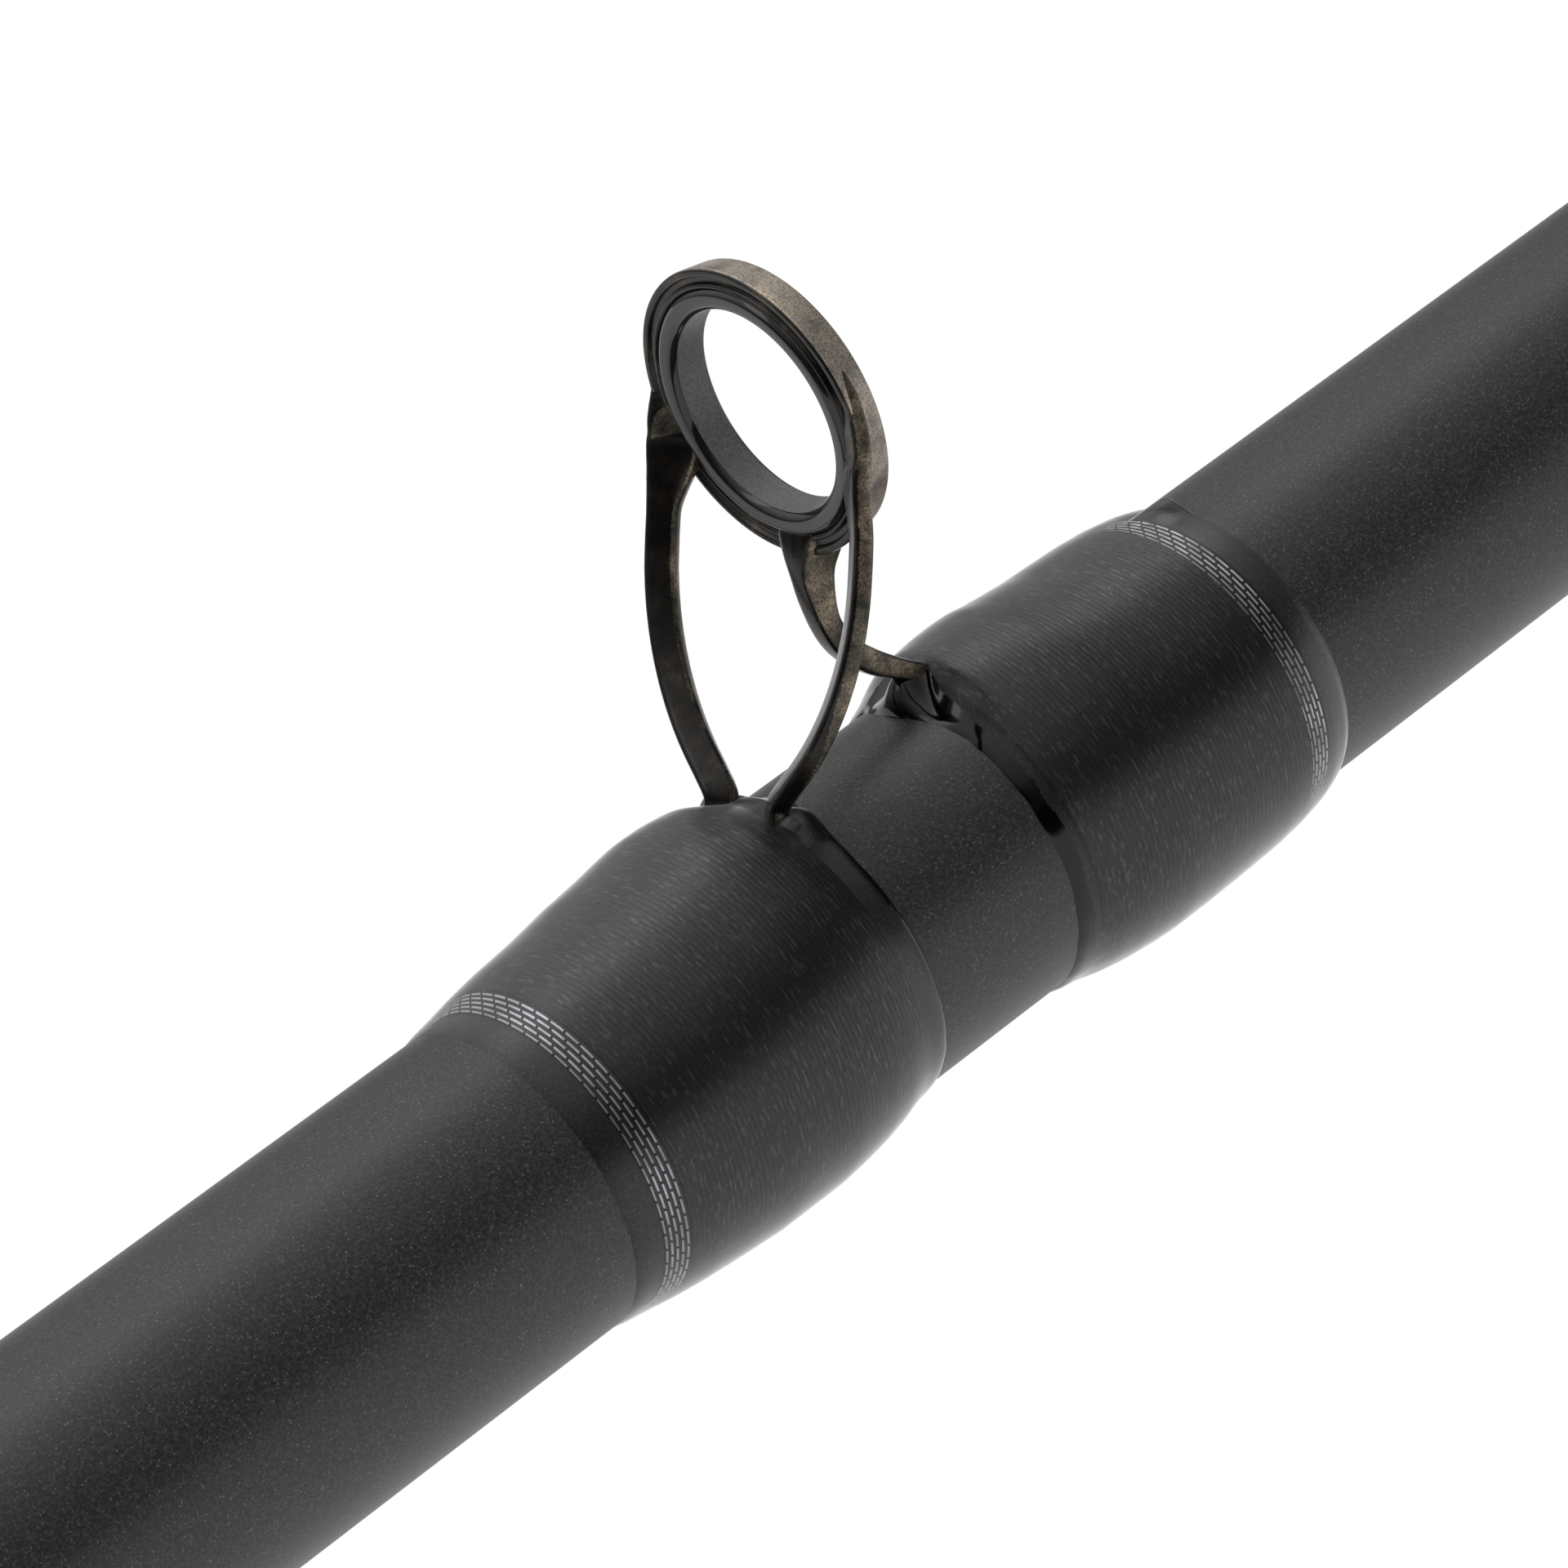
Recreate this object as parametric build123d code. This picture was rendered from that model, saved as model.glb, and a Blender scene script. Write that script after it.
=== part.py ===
from build123d import *
import math
import os

# Two-piece spinning rod. Millimetres. +X from butt to tip, +Z towards the guides,
# origin at the centre of the butt cap's end face.

# Blank, with a put-over ferrule
BLANK_START = 4.0
FERRULE_X = 1090.0
SPIGOT_END = 1150.0
BLANK_END = 2122.0
BUTT_OD = 13.9
BUTT_TAPER = 0.004
BUTT_WALL = 1.3
TIP_SHOULDER_X = 1400.0
TIP_SHOULDER_OD = 8.5
TIP_END_OD = 2.7
FERRULE_WALL = 0.85
FERRULE_GAP = 0.05

# Handle
CAP_LENGTH = 20.0
CAP_R = 13.8
GRIP_R = 14.0
GRIP_STRAIGHT_END = 226.0
GRIP_END = 276.0
SEAT_START = 280.0
SEAT_END = 424.0
SEAT_R = 10.6
SEAT_CORE_R = 9.9
SEAT_BORE_R = 8.6
THREAD_START = 284.4
THREAD_END = 332.0
THREAD_PITCH = 2.0
DECK_Z = 9.0
DECK_HALF = 7.6
POCKET_HALF = 8.2
POCKET_TOP = 14.6
POCKET_DEPTH = 12.0
PAD_THICK = 1.0
HOOD_R = 13.0
HOOD_TOP = 16.0
HOOD_HALF = 9.8
HOOD_START = 311.4
HOOD_MOUTH = 336.0
FIXED_MOUTH = 392.0
FIXED_WALL_X = FIXED_MOUTH + POCKET_DEPTH
NUT_START = 300.0
NUT_LENGTH = 11.0
NUT_R = 12.8
NUT_FLUTES = 16
RUN_GAP = 0.3
FORE_END = 536.0
TRIM_LENGTH = 3.0
CHECK_END = 545.0
KEEPER_X = 575.0
KEEPER_WIRE_R = 0.5

# Guides: position along the rod, size against the reference guide, wrap size
GUIDES = [
    (760.0, 2.5, 1.40),
    (885.0, 1.5, 1.20),
    (1000.0, 1.0, 1.00),
    (1205.0, 1.0, 1.00),
    (1405.0, 0.86, 0.90),
    (1600.0, 0.76, 0.80),
    (1785.0, 0.68, 0.70),
    (1960.0, 0.62, 0.62),
]
BUTT_GUIDES = 3

# Reference guide, every height taken from the blank's surface
RING_LIFT = 10.7
RING_TILT = math.degrees(0.04)
RING_BORE_R = 3.275
RING_OUT_R = 3.97
RING_DEPTH = 1.36
CUP_FRONT_R = 4.62
CUP_BACK_R = 4.46
CUP_DEPTH = 1.15
LEG_SLOPE = 28.3
LEG_HALF_GAP = 4.53
LEG_STRAIGHT = 4.55
LEG_BEND_R = 8.7
LEG_BEND_END = 10.8
FOOT_HALF_GAP = 1.75
STRIP_WIDTH = 0.95
STRIP_THICK = 0.75
STRUT_WIDTH = 0.75
STRUT_LINE = [(0.45, 6.35), (-0.05, 5.25), (-0.2, 4.1), (0.0, 3.05), (0.69, 2.03), (3.2, 0.55)]
FOOT_THICK = 0.45
REAR_FOOT = (-4.2, -13.4)
FRONT_FOOT = (1.1, 9.6)

# Thread wraps of the reference guide, from the ring, and their metallic end bands
REAR_WRAP = (-14.78, -5.2)
FRONT_WRAP = (2.2, 10.97)
BAND_LENGTH = 0.92
UNDERWRAP = 0.36
THREAD = 0.18
EPOXY_MAX = 0.74

os.makedirs("parts", exist_ok=True)


def blank_r(x):
    """Outer radius of the blank at x, on the section that shows there."""
    if x < FERRULE_X:
        return (BUTT_OD - BUTT_TAPER * x) / 2
    start_r = spigot_r(FERRULE_X) + FERRULE_GAP + FERRULE_WALL
    if x < TIP_SHOULDER_X:
        share = (x - FERRULE_X) / (TIP_SHOULDER_X - FERRULE_X)
        return start_r + share * (TIP_SHOULDER_OD / 2 - start_r)
    share = (x - TIP_SHOULDER_X) / (BLANK_END - TIP_SHOULDER_X)
    return (TIP_SHOULDER_OD + share * (TIP_END_OD - TIP_SHOULDER_OD)) / 2


def spigot_r(x):
    """Outer radius of the butt section, also inside the ferrule."""
    return (BUTT_OD - BUTT_TAPER * x) / 2


def turned(points):
    """Solid turned about the rod's axis from a closed outline of (x, radius) points."""
    outline = Polyline(*[(x, 0, r) for x, r in points], close=True)
    return revolve(make_face(outline), axis=Axis.X)


def blank_plug(x0, x1):
    """The blank's outside as one solid between two stations."""
    stations = [x0] + [x for x in (FERRULE_X, TIP_SHOULDER_X) if x0 < x < x1] + [x1]
    top = [(x, blank_r(x)) for x in stations]
    return turned([(x0, 0)] + top + [(x1, 0)])


def box(x0, x1, y0, y1, z0, z1):
    """Box from its limits."""
    solid = Box(x1 - x0, y1 - y0, z1 - z0)
    return Pos((x0 + x1) / 2, (y0 + y1) / 2, (z0 + z1) / 2) * solid


def rod_along(x0, x1, r):
    """Plain cylinder along the rod."""
    return Pos((x0 + x1) / 2, 0, 0) * Rot(0, 90, 0) * Cylinder(r, x1 - x0)


def save(shape, name):
    """One node, one STEP file."""
    shape.label = name
    export_step(shape, "parts/" + name + ".step")


# ---------------------------------------------------------------- blank sections
outer = [(BLANK_START, spigot_r(BLANK_START)), (SPIGOT_END, spigot_r(SPIGOT_END))]
inner = [(x, r - BUTT_WALL) for x, r in reversed(outer)]
save(turned(outer + inner), "blank_butt")

step_x = SPIGOT_END + 3
outer = [(x, blank_r(x)) for x in (FERRULE_X, TIP_SHOULDER_X, BLANK_END)]
inner = [
    (BLANK_END, 0.7),
    (TIP_SHOULDER_X, 3.4),
    (step_x + 6, blank_r(step_x + 6) - 1.2),
    (step_x, spigot_r(step_x) + FERRULE_GAP),
    (FERRULE_X, spigot_r(FERRULE_X) + FERRULE_GAP),
]
save(turned(outer + inner), "blank_tip")

# ---------------------------------------------------------------- butt cap and rear grip
cap = rod_along(0, CAP_LENGTH, CAP_R)
cap = fillet(cap.edges().group_by(Axis.X)[0], 2.0)
for i in range(3):
    groove_x = 6.0 + 4.0 * i
    groove = rod_along(groove_x, groove_x + 1.2, CAP_R + 1) - rod_along(groove_x, groove_x + 1.2, CAP_R - 0.6)
    cap -= groove
cap -= blank_plug(BLANK_START, CAP_LENGTH + 1)
save(cap, "butt_cap")

with BuildSketch(Plane.XZ) as grip_face:
    with BuildLine():
        Polyline((CAP_LENGTH, 0), (CAP_LENGTH, GRIP_R), (GRIP_STRAIGHT_END, GRIP_R))
        Spline(
            (GRIP_STRAIGHT_END, GRIP_R),
            (GRIP_STRAIGHT_END + 28, 12.2),
            (GRIP_END, 12.9),
            tangents=[(1, 0), (1, 0.12)],
        )
        Polyline((GRIP_END, 12.9), (GRIP_END, 0), (CAP_LENGTH, 0))
    make_face()
grip = revolve(grip_face.sketch, axis=Axis.X) - blank_plug(CAP_LENGTH - 1, GRIP_END + 1)
save(grip, "rear_grip")

trim = turned([(GRIP_END, 0), (GRIP_END, 12.7), (GRIP_END + 2.6, 13.0), (SEAT_START, 12.5), (SEAT_START, 0)])
trim -= blank_plug(GRIP_END - 1, SEAT_START + 1)
save(trim, "rear_trim")

# ---------------------------------------------------------------- reel seat
profile = [(SEAT_START, 0), (SEAT_START, 12.4), (THREAD_START - 0.8, 12.4), (THREAD_START - 0.4, SEAT_CORE_R)]
turns = int((THREAD_END - THREAD_START) / THREAD_PITCH)
for i in range(turns):
    x = THREAD_START + i * THREAD_PITCH
    profile += [(x, SEAT_CORE_R), (x + 0.6, SEAT_R), (x + 1.1, SEAT_R), (x + 1.7, SEAT_CORE_R)]
profile += [(THREAD_END, SEAT_R), (SEAT_END, SEAT_R), (SEAT_END, 0)]
seat = turned(profile)
seat += box(HOOD_MOUTH + 5, FIXED_MOUTH, -DECK_HALF, DECK_HALF, 2.0, DECK_Z)
seat -= box(THREAD_START - 0.4, FIXED_WALL_X, -30, 30, DECK_Z, 30)
seat -= rod_along(SEAT_START - 1, SEAT_END + 1, SEAT_BORE_R)
save(seat, "seat_body")

arbors = []
for x0 in (286.0, 342.0, 398.0):
    arbor = rod_along(x0, x0 + 20, SEAT_BORE_R) - blank_plug(x0 - 1, x0 + 21)
    arbors.append(arbor)
save(Compound(children=arbors), "seat_arbors")


def pocket_box(mouth, back, top):
    """Room for one end of a reel foot."""
    low = min(mouth, back)
    high = max(mouth, back)
    return box(low, high, -POCKET_HALF, POCKET_HALF, DECK_Z, top)


def hood_roof(mouth, crest, foot):
    """Raised block over a pocket: flat from its mouth to the crest, then sloping down."""
    points = [(mouth, 0), (mouth, HOOD_TOP), (crest, HOOD_TOP), (foot, 9.0), (foot, 0)]
    side = make_face(Polyline(*[(x, 0, z) for x, z in points], close=True))
    block = extrude(side, HOOD_HALF, both=True)
    return fillet(block.edges().filter_by(Axis.X).group_by(Axis.Z)[-1], 1.8)


roof = hood_roof(FIXED_MOUTH, FIXED_WALL_X + 2, SEAT_END - 2)
fixed = turned([(FIXED_MOUTH, 0), (FIXED_MOUTH, HOOD_R), (SEAT_END, HOOD_R + 0.6), (SEAT_END, 0)])
fixed += roof
fixed -= seat
fixed -= rod_along(FIXED_MOUTH - 1, SEAT_END + 1, SEAT_R - 0.001)
fixed -= pocket_box(FIXED_MOUTH - 1, FIXED_WALL_X, POCKET_TOP)
save(fixed, "fixed_hood")
pad = box(FIXED_MOUTH + 0.6, FIXED_WALL_X, -POCKET_HALF, POCKET_HALF, POCKET_TOP - PAD_THICK, POCKET_TOP)
save(pad, "fixed_hood_pad")

roof = hood_roof(HOOD_MOUTH, HOOD_MOUTH - POCKET_DEPTH - 2, HOOD_START)
hood = rod_along(HOOD_START, HOOD_MOUTH, HOOD_R) + roof
bore = rod_along(HOOD_START - 1, HOOD_MOUTH + 1, SEAT_R + RUN_GAP)
bore -= box(HOOD_START - 2, HOOD_MOUTH - POCKET_DEPTH, -30, 30, DECK_Z + RUN_GAP, 30)
hood -= bore
hood -= pocket_box(HOOD_MOUTH + 1, HOOD_MOUTH - POCKET_DEPTH, POCKET_TOP)
save(hood, "sliding_hood")
pad_x = HOOD_MOUTH - POCKET_DEPTH
pad = box(pad_x, HOOD_MOUTH - 0.6, -POCKET_HALF, POCKET_HALF, POCKET_TOP - PAD_THICK, POCKET_TOP)
save(pad, "sliding_hood_pad")

nut = rod_along(NUT_START, NUT_START + NUT_LENGTH, NUT_R)
nut = chamfer(nut.edges(), 0.6)
for i in range(NUT_FLUTES):
    flute = Rot(360 * i / NUT_FLUTES, 0, 0) * Pos(0, 0, NUT_R + 0.6) * rod_along(NUT_START - 1, NUT_START + 8.5, 1.3)
    nut -= flute
nut -= rod_along(NUT_START - 1, NUT_START + NUT_LENGTH + 1, SEAT_R + RUN_GAP)
save(nut, "lock_nut")

# ---------------------------------------------------------------- fore grip, trim, winding check
with BuildSketch(Plane.XZ) as fore_face:
    with BuildLine():
        Polyline((SEAT_END, 0), (SEAT_END, 13.4))
        Spline(
            (SEAT_END, 13.4),
            (SEAT_END + 46, 13.6),
            (FORE_END, 9.4),
            tangents=[(1, 0.15), (1, -0.02)],
        )
        Polyline((FORE_END, 9.4), (FORE_END, 0), (SEAT_END, 0))
    make_face()
fore = revolve(fore_face.sketch, axis=Axis.X) - blank_plug(SEAT_END - 1, FORE_END + 1)
save(fore, "fore_grip")

trim_end = FORE_END + TRIM_LENGTH
trim = turned([(FORE_END, 0), (FORE_END, 9.6), (trim_end - 0.5, 9.6), (trim_end, 9.1), (trim_end, 0)])
trim -= blank_plug(FORE_END - 1, trim_end + 1)
save(trim, "fore_trim")
check = turned([(trim_end, 0), (trim_end, 8.6), (trim_end + 1.5, 8.4), (CHECK_END, blank_r(CHECK_END) + 0.5), (CHECK_END, 0)])
check -= blank_plug(trim_end - 1, CHECK_END + 1)
save(check, "winding_check")


def epoxy_shell(x0, x1, thick, edge0, edge1):
    """Turned coat over a wrap, rising from the blank over edge0 and falling over edge1."""
    r0 = blank_r(x0)
    r1 = blank_r(x1)
    a = x0 + edge0
    b = x1 - edge1
    with BuildSketch(Plane.XZ) as face:
        with BuildLine():
            Spline((x0, r0), (a, blank_r(a) + 0.86 * thick), tangents=[(0.6, 1), (1, 0.1)])
            Spline(
                (a, blank_r(a) + 0.86 * thick),
                ((a + b) / 2, blank_r((a + b) / 2) + thick),
                (b, blank_r(b) + 0.86 * thick),
                tangents=[(1, 0.1), (1, -0.1)],
            )
            Spline((b, blank_r(b) + 0.86 * thick), (x1, r1), tangents=[(1, -0.1), (0.6, -1)])
            Polyline((x1, r1), (x1, 0), (x0, 0), (x0, r0))
        make_face()
    return revolve(face.sketch, axis=Axis.X) - blank_plug(x0 - 1, x1 + 1)


def sleeve(x0, x1, low, high):
    """Turned band that follows the blank between two heights above it."""
    outline = [(x0, blank_r(x0) + low), (x0, blank_r(x0) + high), (x1, blank_r(x1) + high), (x1, blank_r(x1) + low)]
    return turned(outline)


def lifted_sleeve(x0, x1, under, lift0, lift1):
    """Thread over a guide foot: thicker on the foot's side, by lift0 and lift1 at the ends."""
    discs = []
    for x, lift in ((x0, lift0), (x1, lift1)):
        r = blank_r(x) + under + lift / 2
        discs.append(Plane(origin=(x, 0, lift / 2), x_dir=(0, 1, 0), z_dir=(1, 0, 0)) * Circle(r))
    return loft(discs, ruled=True) - blank_plug(x0 - 1, x1 + 1)


# ---------------------------------------------------------------- hook keeper, under the blank
keeper_r = blank_r(KEEPER_X - 14) + KEEPER_WIRE_R
corners = [
    (KEEPER_X - 13, 0, -keeper_r),
    (KEEPER_X - 5.2, 0, -keeper_r),
    (KEEPER_X - 3.6, 0, -keeper_r - 5.6),
    (KEEPER_X + 3.6, 0, -keeper_r - 5.6),
    (KEEPER_X + 5.2, 0, -keeper_r),
    (KEEPER_X + 13, 0, -keeper_r),
]
path = FilletPolyline(*corners, radius=1.3)
start = Plane(origin=path @ 0, x_dir=(0, 1, 0), z_dir=path % 0)
keeper = sweep(start * Circle(KEEPER_WIRE_R), path=path) - blank_plug(KEEPER_X - 20, KEEPER_X + 20)
save(keeper, "keeper_wire")
threads = []
coats = []
for x0, x1 in ((KEEPER_X - 15, KEEPER_X - 6.2), (KEEPER_X + 6.2, KEEPER_X + 15)):
    wrap = Rot(180, 0, 0) * lifted_sleeve(x0, x1, THREAD, 1.0, 1.0) - keeper
    coat = epoxy_shell(x0 - 0.8, x1 + 0.8, 1.42, 1.4, 1.4) - wrap - keeper
    threads.append(wrap)
    coats.append(coat)
save(Compound(children=threads), "keeper_thread")
save(Compound(children=coats), "keeper_epoxy")


# ---------------------------------------------------------------- guides
def guide(number, xg, k, kw):
    """Frame, ceramic ring, thread and epoxy of one guide; returns its two metallic bands."""
    strip = k ** 0.55
    base = blank_r(xg)
    ring_z = base + RING_LIFT * k
    tilt = math.radians(RING_TILT)
    depth_dir = (math.cos(tilt), 0, -math.sin(tilt))
    ring_plane = Plane(origin=(xg, 0, ring_z), x_dir=(0, 1, 0), z_dir=depth_dir)

    def coin(r_front, r_back, start, depth):
        """Disc behind the ring's front face, its axis the ring's."""
        disc = Cone(r_front, r_back, depth) if r_front != r_back else Cylinder(r_front, depth)
        return ring_plane * Pos(0, 0, start + depth / 2) * disc

    cup_depth = CUP_DEPTH * strip
    wall = CUP_FRONT_R * k - RING_OUT_R * k
    cup = coin(CUP_FRONT_R * k, CUP_BACK_R * k, 0, cup_depth)
    cup = fillet(cup.edges(), 0.2 * wall)
    insert = coin(RING_OUT_R * k, RING_OUT_R * k, -0.1 * wall, RING_DEPTH * strip)
    bore = coin(RING_BORE_R * k, RING_BORE_R * k, -5, 5 + RING_DEPTH * strip + 5)
    ceramic = insert - bore
    rims = ceramic.edges().filter_by(GeomType.CIRCLE).group_by(SortBy.RADIUS)
    ceramic = fillet(rims[0], 0.32 * (RING_OUT_R - RING_BORE_R) * k)
    save(ceramic, "guide_%d_ring" % number)

    slope = math.radians(LEG_SLOPE)
    normal = (math.cos(slope), 0, -math.sin(slope))
    centre = (xg + cup_depth / 2, 0, ring_z)
    leg_plane = Plane(origin=centre, x_dir=(0, 1, 0), z_dir=normal)
    half = STRIP_WIDTH * strip / 2
    wc = LEG_HALF_GAP * k
    bend = LEG_BEND_R * k
    y_bend = -LEG_STRAIGHT * k
    swing = math.degrees(math.asin((LEG_BEND_END - LEG_STRAIGHT) * k / bend))
    y_foot = -(RING_LIFT * k + 0.1) / math.cos(slope)
    w_foot = wc - bend * (1 - math.cos(math.radians(swing))) - 0.12 * k
    legs = []
    for side in (1, -1):
        with BuildSketch(leg_plane) as face:
            with BuildLine():
                hub = (side * (wc - bend), y_bend)
                first = 0 if side == 1 else 180
                turn = -swing if side == 1 else swing
                out_arc = CenterArc(hub, bend + half, first, turn)
                in_arc = CenterArc(hub, bend - half, first, turn)
                Line(out_arc @ 0, (side * (wc + half), 1.0 * k))
                Line((side * (wc + half), 1.0 * k), (side * (wc - half), 1.0 * k))
                Line((side * (wc - half), 1.0 * k), in_arc @ 0)
                low_out = (side * (w_foot + half), y_foot)
                low_in = (side * (w_foot - half), y_foot)
                Polyline(out_arc @ 1, low_out, low_in, in_arc @ 1)
            make_face()
        legs.append(extrude(face.sketch, STRIP_THICK * strip / 2, both=True))

    line = [(xg + s * k, 0, base + v * k) for s, v in STRUT_LINE]
    line[-1] = (xg + STRUT_LINE[-1][0] * k, 0, base + STRUT_LINE[-1][1] * kw)
    spine = Spline(*line)
    start = Plane(origin=spine @ 0, x_dir=(0, 1, 0), z_dir=spine % 0)
    strut = sweep(start * Rectangle(STRUT_WIDTH * strip, STRIP_THICK * strip), path=spine)

    frame = cup + legs[0] + legs[1] + strut
    foot_spans = []
    for (s0, s1), root_half in ((REAR_FOOT, w_foot + half), (FRONT_FOOT, STRUT_WIDTH * strip)):
        toward = 1 if s1 > s0 else -1
        x0 = xg + s0 * k + toward * 0.2
        x1 = x0 + (s1 - s0) * kw
        side_points = [
            (x0, 0, base - 2.0 * kw),
            (x0, 0, base + FOOT_THICK * kw),
            (x1, 0, blank_r(x1) + 0.08),
            (x1, 0, base - 2.0 * kw),
        ]
        top_points = [
            (x0, root_half, 0),
            (x1, 0.55 * kw, 0),
            (x1, -0.55 * kw, 0),
            (x0, -root_half, 0),
        ]
        side_face = make_face(Polyline(*side_points, close=True))
        top_face = make_face(Polyline(*top_points, close=True))
        wedge = extrude(side_face, 6 * k, both=True) & extrude(top_face, 60, dir=(0, 0, 1))
        frame += wedge
        foot_spans.append((x0, x1))
    frame -= blank_plug(xg - 40 * k, xg + 40 * k)
    frame -= insert
    frame -= bore
    save(frame, "guide_%d_frame" % number)

    threads = []
    coats = []
    bands = []
    for wrap, toward, (foot0, foot1) in zip((REAR_WRAP, FRONT_WRAP), (-1, 1), foot_spans):
        near_x = foot0 + toward * 0.9 * kw
        far_x = near_x + toward * (wrap[1] - wrap[0]) * kw
        end_x = far_x + toward * BAND_LENGTH * kw
        coat_near = near_x - toward * 1.0 * kw
        coat_far = end_x + toward * 1.15 * kw
        under = UNDERWRAP * kw
        lift = 0.27 * kw
        if toward < 0:
            sheath = lifted_sleeve(far_x, near_x, under, 0.0, lift)
            low, high = end_x, far_x
            coat = epoxy_shell(coat_far, coat_near, EPOXY_MAX * kw, 1.9 * kw, 0.9 * kw)
        else:
            sheath = lifted_sleeve(near_x, far_x, under, lift, 0.0)
            low, high = far_x, end_x
            coat = epoxy_shell(coat_near, coat_far, EPOXY_MAX * kw, 0.9 * kw, 1.9 * kw)
        band = sleeve(low, high, 0, under)
        coats.append(coat - sheath - band - frame)
        threads.append(sheath - frame)
        bands.append(band)
    save(Compound(children=threads), "guide_%d_thread" % number)
    save(Compound(children=coats), "guide_%d_epoxy" % number)
    return bands


all_bands = []
for i, (xg, k, kw) in enumerate(GUIDES):
    all_bands.append(guide(i + 1, xg, k, kw))
butt_bands = [band for pair in all_bands[:BUTT_GUIDES] for band in pair]
tip_bands = [band for pair in all_bands[BUTT_GUIDES:] for band in pair]
save(Compound(children=butt_bands), "butt_tipping")

# ---------------------------------------------------------------- ferrule wrap
wrap = sleeve(FERRULE_X + 1.2, FERRULE_X + 24, 0, UNDERWRAP)
ring_band = sleeve(FERRULE_X + 24, FERRULE_X + 24 + BAND_LENGTH, 0, UNDERWRAP)
save(wrap, "ferrule_thread")
coat = epoxy_shell(FERRULE_X + 0.1, FERRULE_X + 26.2, 0.62, 1.0, 1.6) - wrap - ring_band
save(coat, "ferrule_epoxy")
tip_bands.append(ring_band)

# ---------------------------------------------------------------- tip-top
TOP_TUBE_START = 2112.0
TOP_TUBE_END = 2124.0
TOP_TUBE_R = 1.95
TOP_RING_X = 2126.0
TOP_RING_Z = 6.1
TOP_K = 0.66
tube = rod_along(TOP_TUBE_START, TOP_TUBE_END, TOP_TUBE_R)
tube = fillet(tube.edges().group_by(Axis.X)[-1], 0.8)
lean = 8.0
top_plane = Plane(
    origin=(TOP_RING_X, 0, TOP_RING_Z),
    x_dir=(0, 1, 0),
    z_dir=(math.cos(math.radians(lean)), 0, -math.sin(math.radians(lean))),
)
top_cup = top_plane * Cylinder(CUP_FRONT_R * TOP_K, 1.1)
top_cup = fillet(top_cup.edges(), 0.12)
top_insert = top_plane * Cylinder(RING_OUT_R * TOP_K, 1.3)
top_bore = top_plane * Cylinder(RING_BORE_R * TOP_K, 8)
top_ceramic = top_insert - top_bore
rims = top_ceramic.edges().filter_by(GeomType.CIRCLE).group_by(SortBy.RADIUS)
top_ceramic = fillet(rims[0], 0.14)
save(top_ceramic, "tiptop_ring")
top_frame = tube + top_cup
for side in (1, -1):
    path = Line((TOP_TUBE_START + 2.5, side * 1.4, 0.6), (TOP_RING_X - 0.1, side * 2.55, TOP_RING_Z - 0.9))
    start = Plane(origin=path @ 0, x_dir=(0, 1, 0), z_dir=path % 0)
    top_frame += sweep(start * Circle(0.42), path=path)
path = Line((TOP_TUBE_END - 0.9, 0, 1.0), (TOP_RING_X - 0.2, 0, TOP_RING_Z - CUP_FRONT_R * TOP_K + 0.25))
start = Plane(origin=path @ 0, x_dir=(0, 1, 0), z_dir=path % 0)
top_frame += sweep(start * Circle(0.5), path=path)
top_frame -= blank_plug(TOP_TUBE_START - 10, BLANK_END)
top_frame -= top_insert
top_frame -= top_bore
save(top_frame, "tiptop_frame")
wrap_start = TOP_TUBE_START - 8.0
wrap = turned(
    [
        (wrap_start, 0),
        (wrap_start, blank_r(wrap_start) + THREAD),
        (TOP_TUBE_START, blank_r(TOP_TUBE_START) + THREAD),
        (TOP_TUBE_START, TOP_TUBE_R + THREAD),
        (TOP_TUBE_START + 1.6, TOP_TUBE_R + THREAD),
        (TOP_TUBE_START + 1.6, 0),
    ]
)
wrap = wrap - blank_plug(wrap_start - 1, BLANK_END) - top_frame
save(wrap, "tiptop_thread")
band_start = wrap_start - BAND_LENGTH * 0.62
ring_band = sleeve(band_start, wrap_start, 0, THREAD)
tip_bands.append(ring_band)
coat = turned(
    [
        (band_start - 0.9, 0),
        (band_start - 0.9, blank_r(band_start - 0.9) + 0.02),
        (band_start - 0.2, blank_r(band_start) + 0.3),
        (TOP_TUBE_START - 2, blank_r(TOP_TUBE_START - 2) + 0.42),
        (TOP_TUBE_START, TOP_TUBE_R + 0.36),
        (TOP_TUBE_START + 1.8, TOP_TUBE_R + 0.3),
        (TOP_TUBE_START + 2.3, TOP_TUBE_R + 0.02),
        (TOP_TUBE_START + 2.3, 0),
    ]
)
coat = coat - blank_plug(band_start - 2, BLANK_END) - top_frame - wrap - ring_band
save(coat, "tiptop_epoxy")
save(Compound(children=tip_bands), "tip_tipping")
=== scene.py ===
import math

import bpy
import numpy as np
from mathutils import Matrix, Vector


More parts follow.
